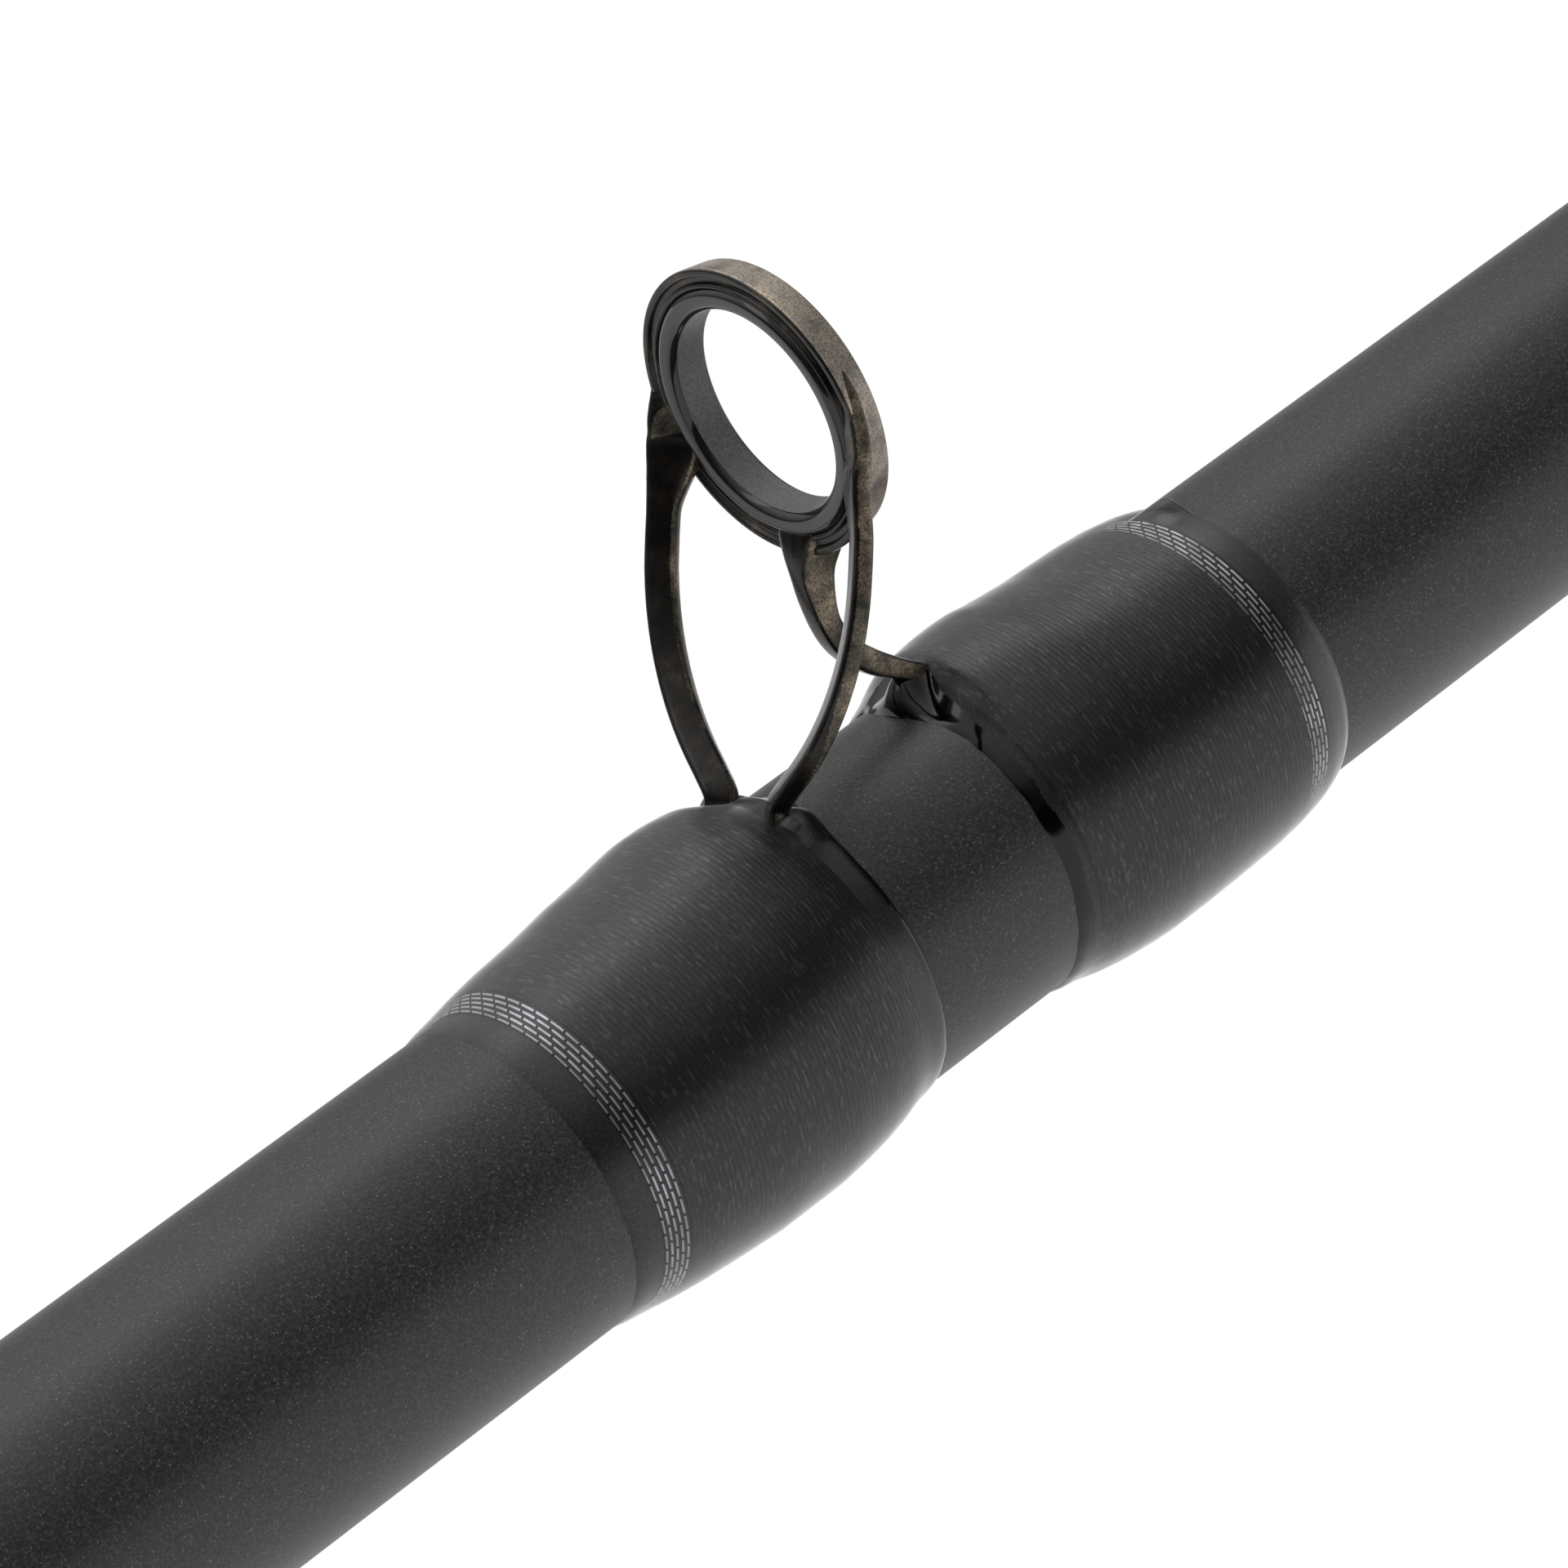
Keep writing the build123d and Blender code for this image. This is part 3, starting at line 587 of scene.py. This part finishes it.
M = {
    "blank": blank_material(),
    "thread": thread_material(),
    "foil": foil_material(),
    "frame": frame_material(),
    "frosted_and_lit": frame_material("frosted_and_lit"),
    "side_highlight": frame_material("side_highlight"),
    "ceramic": ceramic_material(False),
    "bore": ceramic_material(True),
    "epoxy": epoxy_material(),
    "epoxy_dark_reflection": epoxy_material(True),
    "foam": foam_material(),
    "rubber": rubber_material(),
    "seat": moulded_material("seat_nylon", (0.020, 0.020, 0.022), (0.032, 0.032, 0.034), 0.32),
    "hood": moulded_material("hood_shell", (0.022, 0.022, 0.025), (0.034, 0.034, 0.038), 0.14),
    "pad": moulded_material("hood_pad", (0.06, 0.06, 0.06), (0.09, 0.09, 0.09), 0.6),
    "arbor": moulded_material("arbor_foam", (0.45, 0.43, 0.38), (0.55, 0.53, 0.48), 0.8),
    "trim": anodised_material(),
}


def finish_piece(obj, material, body, node):
    """Material (None keeps the piece's own), body and the CAD node it stands for, which it hides."""
    if material is not None:
        obj.data.materials.clear()
        obj.data.materials.append(M[material])
    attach(obj, body)
    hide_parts(node)


def body_of(number):
    """The body that carries a guide, by its number from the butt."""
    return "butt_section" if number <= BUTT_GUIDES else "tip_section"


# ------------------------------------------------------------------ blank sections
xs = np.arange(BLANK_START, SPIGOT_END + 0.01, 2.0)
outer = [(x, spigot_r(x)) for x in xs]
inner = [(x, spigot_r(x) - BUTT_WALL) for x in (SPIGOT_END, BLANK_START)]
obj = mesh_from("butt_blank", *lathe(outer + inner, 256))
finish_piece(obj, "blank", "butt_section", "blank_butt")

xs = np.linspace(FERRULE_X + 0.3, BLANK_END, 520)
outer = [(FERRULE_X, float(blank_r(FERRULE_X)) - 0.3)] + [(x, float(blank_r(x))) for x in xs]
step_x = SPIGOT_END + 3
inner = [
    (BLANK_END, 0.7),
    (TIP_SHOULDER_X, 3.4),
    (step_x + 6, float(blank_r(step_x + 6)) - 1.2),
    (step_x, spigot_r(step_x) + FERRULE_GAP),
    (FERRULE_X, spigot_r(FERRULE_X) + FERRULE_GAP),
]
obj = mesh_from("tip_blank", *lathe(outer + inner, 160))
finish_piece(obj, "blank", "tip_section", "blank_tip")


# ------------------------------------------------------------------ guides
def ring_lathe(xg, ring_z, profile, cols):
    """Turned about the guide ring's own axis from (radius, depth) points."""
    profile = np.asarray(profile, float)
    angle = np.linspace(0, 2 * math.pi, cols, endpoint=False)
    depth_dir = np.array([math.cos(RING_TILT), 0, -math.sin(RING_TILT)])
    up_dir = np.array([math.sin(RING_TILT), 0, math.cos(RING_TILT)])
    side_dir = np.array([0, 1.0, 0])
    centre = np.array([xg, 0, ring_z])
    r = profile[:, 0][:, None, None]
    d = profile[:, 1][:, None, None]
    spin = np.cos(angle)[None, :, None] * up_dir + np.sin(angle)[None, :, None] * side_dir
    verts = centre + r * spin + d * depth_dir
    return verts.reshape(-1, 3), grid_faces(len(profile), cols, wrap_rows=True)


def guide_frame(number, xg, k, kw):
    """Pressed metal frame: ring holder, two legs towards the butt, one strut towards the tip."""
    strip_k = k ** 0.55
    base = float(blank_r(xg))
    ring_z = base + RING_LIFT * k
    hero = number == HERO
    up = np.array([math.sin(LEG_SLOPE), 0, math.cos(LEG_SLOPE)])
    normal = np.array([math.cos(LEG_SLOPE), 0, -math.sin(LEG_SLOPE)])
    centre = np.array([xg + CUP_DEPTH * strip_k / 2, 0, ring_z])
    # Each leg's distance from the middle plane, q from the ring's centre down the legs' plane
    q_end = (RING_LIFT * k + 0.35) / math.cos(LEG_SLOPE)
    q = np.linspace(1.0 * k, q_end, 80)
    bend = LEG_BEND_R * k
    over = np.clip(q - LEG_STRAIGHT * k, 0, (LEG_BEND_END - LEG_STRAIGHT) * k)
    half_gap = LEG_HALF_GAP * k - (bend - np.sqrt(bend ** 2 - over ** 2))
    half_gap = np.maximum(half_gap - 0.85 * np.clip(q - LEG_BEND_END * k, 0, None), 1.3 * k)
    flare = 0.75 * k * (1 - smooth(1.5 * k, 3.7 * k, q))
    hug_r = (CUP_FRONT_R - 0.42) * k
    hug_x = xg + 0.36 * strip_k + 0.02
    parts = []
    for side in (1, -1):
        gap = half_gap - flare / 2
        leg = centre + side * gap[:, None] * np.array([0, 1.0, 0]) - q[:, None] * up
        turn = np.radians(np.linspace(34, 8, 10))[:, None]
        rise = hug_r * np.sin(turn)
        hug = np.concatenate([hug_x + RING_TILT * rise, side * hug_r * np.cos(turn), ring_z + rise], 1)
        path = curve_points(np.concatenate([hug, leg[::4], leg[-1:]]), 230)
        drop = ring_z - path[:, 2]
        join = smooth(-1.2 * k, 1.2 * k, drop)[:, None]
        leg_dir = side * math.cos(LEG_SPLAY) * np.array([0, 1.0, 0]) - math.sin(LEG_SPLAY) * normal
        radial = path - np.array([xg, 0, ring_z])
        radial[:, 0] = 0
        radial /= np.linalg.norm(radial, axis=1)[:, None]
        wide_dir = leg_dir * join + radial * (1 - join)
        fade = 0.62 + 0.38 * smooth(-2.6 * k, 0.6 * k, drop)
        widen = 0.72 * k * (1 - smooth(1.3 * k, 3.3 * k, drop)) * smooth(-0.8 * k, 0.9 * k, drop)
        wide = LEG_WIDE * strip_k * fade + widen
        thin = LEG_THIN * strip_k * (0.75 + 0.25 * join[:, 0])
        parts.append(strip(path, wide_dir, wide, thin, power=4.5))
    line = [(xg + s * k, 0, base + v * k) for s, v in STRUT_LINE]
    line[-1] = (xg + STRUT_LINE[-1][0] * k, 0, base + STRUT_LINE[-1][1] * kw)
    path = curve_points(line, 84)
    share = np.linspace(0, 1, len(path))
    wide = 0.82 * strip_k + 0.9 * k * (1 - smooth(0.0, 0.2, share))
    thin = 0.78 * strip_k + 0.75 * k * (1 - smooth(0.0, 0.45, share))
    thin = thin - 0.2 * strip_k * smooth(0.7, 1.0, share)
    parts.append(strip(path, (0, 1, 0), wide, thin, power=4.5))
    holder = rounded(
        [
            (RING_OUT_R * k + 0.02, 0.16 * strip_k),
            (CUP_FRONT_R * k - 0.1, 0.12 * strip_k),
            (CUP_BACK_R * k - 0.04, CUP_DEPTH * strip_k - 0.06),
            (RING_OUT_R * k + 0.02, CUP_DEPTH * strip_k - 0.06),
        ],
        0.05,
    )
    parts.append(ring_lathe(xg, ring_z, holder, 160))
    for (s0, s1), root_half in ((REAR_FOOT, 2.2 * k), (FRONT_FOOT, 0.8 * k)):
        toward = 1 if s1 > s0 else -1
        x0 = xg + s0 * k + toward * (0.55 if toward < 0 else 0.2)
        x1 = xg + s0 * k + toward * 0.2 + (s1 - s0) * kw
        xs = np.linspace(x0, x1, 16)
        u = np.linspace(0, 1, 16)
        top = base + 0.7 * FOOT_THICK * kw * (1 - u) + 0.08 * u
        path = np.stack([xs, np.zeros(16), top - 0.3 * kw], -1)
        parts.append(strip(path, (0, 1, 0), 1.8 * (root_half * (1 - u) + 0.55 * kw * u), 0.6 * kw))
    voxel = 0.055 * strip_k / (1.0 if hero else 0.45)
    body = fused("guide_%d_frame" % number, parts, voxel, 5 if hero else 3)

    # The stepped rim keeps its crisp edges, so it stays out of the remesh
    rim_w = CUP_FRONT_R * k - RING_OUT_R * k
    depth = CUP_DEPTH * strip_k
    crisp = rounded(
        [
            (RING_OUT_R * k + 0.005, 0.10 * rim_w),
            (RING_OUT_R * k + 0.14 * rim_w, 0.0),
            (RING_OUT_R * k + 0.24 * rim_w, 0.03 * rim_w),
            (RING_OUT_R * k + 0.34 * rim_w, 0.26 * rim_w),
            (RING_OUT_R * k + 0.52 * rim_w, 0.26 * rim_w),
            (RING_OUT_R * k + 0.66 * rim_w, 0.02),
            (CUP_FRONT_R * k - 0.05 * rim_w, 0.02),
            (CUP_FRONT_R * k, 0.2 * rim_w),
            (CUP_BACK_R * k, depth - 0.1 * rim_w),
            (CUP_BACK_R * k - 0.15 * rim_w, depth),
            (RING_OUT_R * k + 0.005, depth),
        ],
        0.07 * rim_w,
        4,
    )
    cols = 256 if hero else 96
    rim = mesh_from("rim", *ring_lathe(xg, ring_z, crisp, cols))
    for piece in (body, rim):
        piece.data.materials.clear()
        for look in ("frame", "frosted_and_lit", "side_highlight"):
            piece.data.materials.append(M[look])
    # Faces turned sideways get the painted highlight material (index 2)
    for poly in body.data.polygons:
        side_on = 0.74 if poly.center.z < (ring_z - 1.0 * k) * MM else 0.30
        if abs(poly.normal.y) > side_on:
            poly.material_index = 2
    radius_at = crisp[:, 0]
    outside = (radius_at > CUP_BACK_R * k - 0.01) & (crisp[:, 1] > 0.12 * rim_w)
    # The ring's outer barrel rows get the tan frosted material, lightened with painted overhead light
    # (index 1)
    for index, poly in enumerate(rim.data.polygons):
        row = index // cols
        if outside[row] and outside[(row + 1) % len(crisp)]:
            poly.material_index = 1
    body = join_objects([body, rim], "guide_%d_metal" % number)
    finish_piece(body, None, body_of(number), "guide_%d_frame" % number)
    ceramic_ring(number, xg, ring_z, k, RING_DEPTH * strip_k, cols)


def ceramic_ring(number, xg, ring_z, k, depth, cols):
    """Polished black ring; its bore is a greyer ground face."""
    wall = (RING_OUT_R - RING_BORE_R) * k
    r0 = RING_BORE_R * k
    outline = rounded(
        [
            (r0, 0.20 * wall),
            (r0 + 0.24 * wall, -0.05 * wall),
            (r0 + 0.80 * wall, -0.09 * wall),
            (r0 + wall, 0.12 * wall),
            (r0 + wall, depth - 0.1 * wall),
            (r0 + 0.82 * wall, depth),
            (r0 + 0.2 * wall, depth),
            (r0, depth - 0.2 * wall),
        ],
        [corner * wall for corner in (0.12, 0.2, 0.14, 0.05, 0.05, 0.1, 0.15, 0.1)],
        6,
    )
    obj = mesh_from("guide_%d_ceramic" % number, *ring_lathe(xg, ring_z, outline, cols))
    obj.data.materials.append(M["ceramic"])
    obj.data.materials.append(M["bore"])
    inside = outline[:, 0] < r0 + 0.02 * wall
    for index, poly in enumerate(obj.data.polygons):
        row = index // cols
        if inside[row] and inside[(row + 1) % len(outline)]:
            poly.material_index = 1
    finish_piece(obj, None, body_of(number), "guide_%d_ring" % number)


def from_top(ang):
    """Angle away from the top of the rod, 0 to pi."""
    return np.abs(np.angle(np.exp(1j * ang)))


class Wrap:
    """One wrap of a guide: where its thread, band and coat lie and how high they stand."""

    def __init__(self, xg, k, kw, front, rng):
        s0 = FRONT_FOOT[0] if front else REAR_FOOT[0]
        w0, w1 = FRONT_WRAP if front else REAR_WRAP
        self.k, self.kw, self.front = k, kw, front
        self.toward = 1 if front else -1
        self.foot_x = xg + s0 * k + self.toward * 0.2
        self.near_x = self.foot_x + self.toward * 0.9 * kw
        self.far_x = self.near_x + self.toward * (w1 - w0) * kw
        self.end_x = self.far_x + self.toward * BAND_LENGTH * kw
        self.waves = []
        for f in (2, 3, 5, 8, 13, 21, 34):
            height = rng.uniform(0.3, 1.0) / (1 + 0.1 * f)
            self.waves.append((f, height, rng.uniform(0, 6.28)))

    def ragged(self, ang, shift=0.0):
        """Uneven edge, about -2 to 2."""
        return sum(a * np.sin(ang * f + p + shift) for f, a, p in self.waves)

    def limits(self, ang):
        """Where the coat starts and ends at each angle."""
        tongue = np.exp(-((from_top(ang) / (0.30 if self.front else 0.46)) ** 2))
        rough = 0.05 if self.front else 0.02
        start = self.near_x - self.toward * self.kw * (0.95 + rough * self.ragged(ang) + 0.5 * tongue)
        end = self.end_x + self.toward * self.kw * (1.15 + 0.012 * self.ragged(ang, 2.0))
        return start, end

    def base_height(self, x, ang):
        """Smooth swelling of the wrap, higher over the foot."""
        start, end = self.limits(ang)
        from_in = np.abs(x - start) / self.kw
        from_out = np.abs(x - end) / self.kw
        taper = FRONT_TAPER if self.front else REAR_TAPER
        height = np.minimum(np.interp(from_in, *INNER_RISE), np.interp(from_out, *taper))
        u = (x - self.near_x) * self.toward / self.kw
        lift = np.interp(u, *(FRONT_LIFT if self.front else REAR_LIFT))
        return height + lift * np.exp(-((from_top(ang) / (0.70 if self.front else 0.88)) ** 2))

    def coat_radius(self, x, ang):
        """Top of the epoxy, with the pools it makes round the feet."""
        u = (x - self.near_x) * self.toward / self.kw
        y = blank_r(x) * np.sin(ang)
        above = np.cos(ang) > 0
        if self.front:
            ridge = np.interp(u, [-1.6, -1.2, -0.8, -0.1, 1.2, 2.6], [0, 0.55, 1.1, 1.0, 0.80, 0.6])
            extra = ridge / (1 + (y / 0.75) ** 2) ** 1.4
        else:
            blobs = 0.0
            for side in (1, -1):
                away = ((u + 0.45) / 0.75) ** 2 + ((y - side * 1.7 * self.k) / 0.75) ** 2
                blobs = blobs + 0.85 * np.exp(-away)
            bridge = 0.62 * np.exp(-(((u + 0.5) / 0.5) ** 2) - (y / (1.5 * self.k)) ** 2)
            extra = np.maximum(blobs, bridge)
        height = self.base_height(x, ang)
        height = np.where(above, np.maximum(height, extra), height)
        return blank_r(x) + height * self.kw

    def thread_radius(self, x, ang):
        """Top of the thread, close under the coat, which magnifies it almost to its own surface."""
        return blank_r(x) + np.maximum(self.base_height(x, ang) - 0.12, 0.10) * self.kw


def tube(x, ang, radius):
    """Vertices of a skin given by its radius at each x and angle."""
    return np.stack([x, radius * np.sin(ang), radius * np.cos(ang)], -1)


def wrap_pair(number, xg, k, kw):
    """Thread, foil bands and epoxy over both feet of one guide."""
    hero = number == HERO
    cols = 420 if hero else 96
    angle = np.linspace(0, 2 * math.pi, cols, endpoint=False)
    rng = np.random.default_rng(7 + number)
    threads, foils, coats, rims = [], [], [], []
    for front in (False, True):
        wrap = Wrap(xg, k, kw, front, rng)
        count = int(abs(wrap.far_x - wrap.near_x) / THREAD) * (8 if hero else 1)
        xx, aa = np.meshgrid(np.linspace(wrap.near_x, wrap.far_x, count), angle, indexing="ij")
        radius = wrap.thread_radius(xx, aa)
        if hero:
            phase = (xx / THREAD + aa / (2 * math.pi)) % 1.0 - 0.5
            radius = radius - 0.02 + 0.02 * np.sqrt(np.clip(1 - (1.9 * phase) ** 2, 0, 1))
        verts = tube(xx, aa, radius)
        tuck = np.array([1, 0.88, 0.88])
        verts = np.concatenate([verts[:1] * tuck, verts, verts[-1:] * tuck])
        threads.append((verts.reshape(-1, 3), grid_faces(len(verts), cols)))

        row = np.linspace(wrap.far_x, wrap.end_x, STRANDS * (10 if hero else 4) + 1)
        xx, aa = np.meshgrid(row, angle, indexing="ij")
        place = (xx - wrap.far_x) / (wrap.end_x - wrap.far_x) * STRANDS
        crest = np.abs((place % 1.0) - 0.5) * 2
        crown = 0.05 * kw * (np.sqrt(np.clip(1 - crest ** 2, 0, 1)) - 1)
        radius = wrap.thread_radius(xx, aa) + crown
        verts = tube(xx, aa, radius)
        verts = np.concatenate([verts, verts[-1:] * tuck])
        foils.append((verts.reshape(-1, 3), grid_faces(len(verts), cols)))

        rows = 220 if hero else 44
        tt, aa = np.meshgrid(np.linspace(0, 1, rows), angle, indexing="ij")
        start, end = wrap.limits(aa)
        xx = start + (end - start) * tt
        radius = wrap.coat_radius(xx, aa)
        for _ in range(3 if hero else 1):
            padded = np.concatenate([radius[:1]] * 2 + [radius] + [radius[-1:]] * 2)
            radius = sum(padded[i : i + rows] for i in range(5)) / 5
            radius[0] = blank_r(xx[0]) - 0.01
            radius[-1] = blank_r(xx[-1]) - 0.01
        coats.append((tube(xx, aa, radius).reshape(-1, 3), grid_faces(rows, cols)))
        # Band along the coat's inner edge that gets the dark material: a painted dark reflection
        edge = 0.52 + 0.95 * np.exp(-((from_top(aa) / 0.30) ** 2)) if front else 0.14
        dark_reflection_band = np.abs(xx - start) / kw < edge + (0.13 if front else 0.03) * wrap.ragged(aa, 1.0)
        rims.append(dark_reflection_band[:-1].ravel())
    obj = mesh_from("guide_%d_wrap" % number, *merge(threads))
    finish_piece(obj, "thread", body_of(number), "guide_%d_thread" % number)
    obj = mesh_from("guide_%d_coat" % number, *merge(coats))
    obj.data.materials.append(M["epoxy"])
    obj.data.materials.append(M["epoxy_dark_reflection"])
    obj.data.polygons.foreach_set("material_index", np.concatenate(rims).astype(int).tolist())
    finish_piece(obj, None, body_of(number), "guide_%d_epoxy" % number)
    return foils


bands = {"butt_section": [], "tip_section": []}
for i, (xg, k, kw) in enumerate(GUIDES):
    guide_frame(i + 1, xg, k, kw)
    bands[body_of(i + 1)] += wrap_pair(i + 1, xg, k, kw)

for body, node in (("butt_section", "butt_tipping"), ("tip_section", "tip_tipping")):
    parts = bands[body]
    if body == "tip_section":
        for start, high, length in (FERRULE_BAND, TIPTOP_BAND):
            row = np.linspace(start, start + length, 5 * STRANDS + 1)
            crest = np.abs((np.linspace(0, STRANDS, len(row)) % 1.0) - 0.5) * 2
            r = blank_r(row) + high - 0.09 + 0.09 * np.sqrt(np.clip(1 - crest ** 2, 0, 1))
            profile = [(row[0], r[0] - 0.2)] + list(zip(row, r)) + [(row[-1], r[-1] - 0.2)]
            parts.append(lathe(profile, 128))
    obj = mesh_from(node + "_foil", *merge(parts))
    finish_piece(obj, "foil", body, node)


# ------------------------------------------------------------------ handle
def grip(node, outline, radii):
    """Turned foam grip from its (x, radius) outline and the rounding of each corner."""
    obj = mesh_from(node + "_foam", *lathe(rounded(outline, radii), 128))
    finish_piece(obj, "foam", "butt_section", node)


grip_top = curve_points(REAR_GRIP_TOP, 40)
outline = [(GRIP_START, 6.9), (GRIP_START, GRIP_R), *grip_top, (GRIP_END, 6.4)]
grip("rear_grip", outline, [0, 0.5] + [0] * (len(grip_top) - 1) + [0.4, 0])
fore_top = curve_points(FORE_GRIP_TOP, 48)
outline = [(FORE_START, 6.15), *fore_top, (FORE_END, 5.9)]
grip("fore_grip", outline, [0, 0.5] + [0] * (len(fore_top) - 2) + [0.5, 0])

# CAD nodes that keep their shape, and their materials
CAD_LOOKS = {
    "butt_cap": "rubber",
    "rear_trim": "trim",
    "seat_body": "seat",
    "seat_arbors": "arbor",
    "fixed_hood": "hood",
    "fixed_hood_pad": "pad",
    "sliding_hood": "hood",
    "sliding_hood_pad": "pad",
    "lock_nut": "trim",
    "fore_trim": "trim",
    "winding_check": "rubber",
    "keeper_wire": "frame",
    "keeper_thread": "thread",
    "keeper_epoxy": "epoxy",
    "ferrule_thread": "thread",
    "ferrule_epoxy": "epoxy",
    "tiptop_frame": "frame",
    "tiptop_ring": "ceramic",
    "tiptop_thread": "thread",
    "tiptop_epoxy": "epoxy",
}
for node, look in CAD_LOOKS.items():
    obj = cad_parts[node]
    obj.data.materials.clear()
    obj.data.materials.append(M[look])

# ------------------------------------------------------------------ floor, light, camera
verts = [(x, y, FLOOR_Z) for x in (-FLOOR_HALF, FLOOR_HALF) for y in (-FLOOR_HALF, FLOOR_HALF)]
floor = mesh_from("studio_floor", verts, [(0, 2, 3, 1)], scale=1.0)
n = Nodes("floor_white")
speck = n.noise(3.0, 3)
light = n.add("ShaderNodeEmission")
light.inputs["Strength"].default_value = 1.02
n.put(light.inputs["Color"], n.ramp(speck, [(0.0, (1.0, 1.0, 1.0)), (1.0, (0.995, 0.996, 1.0))]))
n.tree.links.new(light.outputs[0], n.out.inputs["Surface"])
floor.data.materials.append(n.mat)

# The world's light by direction: dark just above the horizon, then brighter, soonest behind the rod
world = bpy.data.worlds.new("studio")
world.use_nodes = True
bpy.context.scene.world = world
tree = world.node_tree
tree.nodes.clear()
coord = tree.nodes.new("ShaderNodeTexCoord")
split = tree.nodes.new("ShaderNodeSeparateXYZ")
far_side = tree.nodes.new("ShaderNodeMath")
far_side.operation = "MAXIMUM"
far_side.inputs[1].default_value = 0.0
height = tree.nodes.new("ShaderNodeMath")
height.operation = "MULTIPLY_ADD"
height.inputs[1].default_value = 0.5
ramp = tree.nodes.new("ShaderNodeValToRGB")
back = tree.nodes.new("ShaderNodeBackground")
out = tree.nodes.new("ShaderNodeOutputWorld")
tree.links.new(coord.outputs["Generated"], split.inputs[0])
tree.links.new(split.outputs["Y"], far_side.inputs[0])
tree.links.new(far_side.outputs[0], height.inputs[0])
tree.links.new(split.outputs["Z"], height.inputs[2])
tree.links.new(height.outputs[0], ramp.inputs["Fac"])
tree.links.new(ramp.outputs["Color"], back.inputs["Color"])
tree.links.new(back.outputs[0], out.inputs["Surface"])
back.inputs["Strength"].default_value = 1.3
stops = [(0.0, 0.30), (0.05, 0.02), (0.36, 0.02), (0.52, 0.14), (0.66, 0.35), (0.90, 0.66), (1.0, 0.95)]
while len(ramp.color_ramp.elements) < len(stops):
    ramp.color_ramp.elements.new(0.5)
for element, (spot, value) in zip(ramp.color_ramp.elements, stops):
    element.position = spot
    element.color = (value, value, value, 1)


lamp = bpy.data.lights.new("top_softbox", "AREA")
lamp.shape = "RECTANGLE"
lamp.size = 3.0
lamp.size_y = 0.5
lamp.energy = 6.0
softbox = bpy.data.objects.new("top_softbox", lamp)
softbox.location = (1.0, 0.35, 1.3)
toward_rod = Vector((1.0, 0.0, 0.0)) - softbox.location
softbox.rotation_euler = toward_rod.to_track_quat("-Z", "Y").to_euler()
bpy.context.scene.collection.objects.link(softbox)

bpy.context.scene.view_settings.view_transform = "Standard"
bpy.context.scene.view_settings.look = "None"
bpy.context.scene.view_settings.exposure = 0.0

ahead = Vector(CAMERA_AHEAD).normalized()
right = Vector(CAMERA_RIGHT)
right = (right - right.dot(ahead) * ahead).normalized()
turned = Matrix([right, right.cross(ahead), -ahead]).transposed().to_4x4()
cam_data = bpy.data.cameras.new("camera")
cam_data.sensor_width = CAMERA_SENSOR_MM
cam_data.lens = CAMERA_LENS_MM
cam_data.clip_start = 0.01
cam_data.clip_end = 200.0
cam = bpy.data.objects.new("camera", cam_data)
cam.matrix_world = Matrix.Translation(CAMERA_PLACE) @ turned
bpy.context.scene.collection.objects.link(cam)
bpy.context.scene.camera = cam
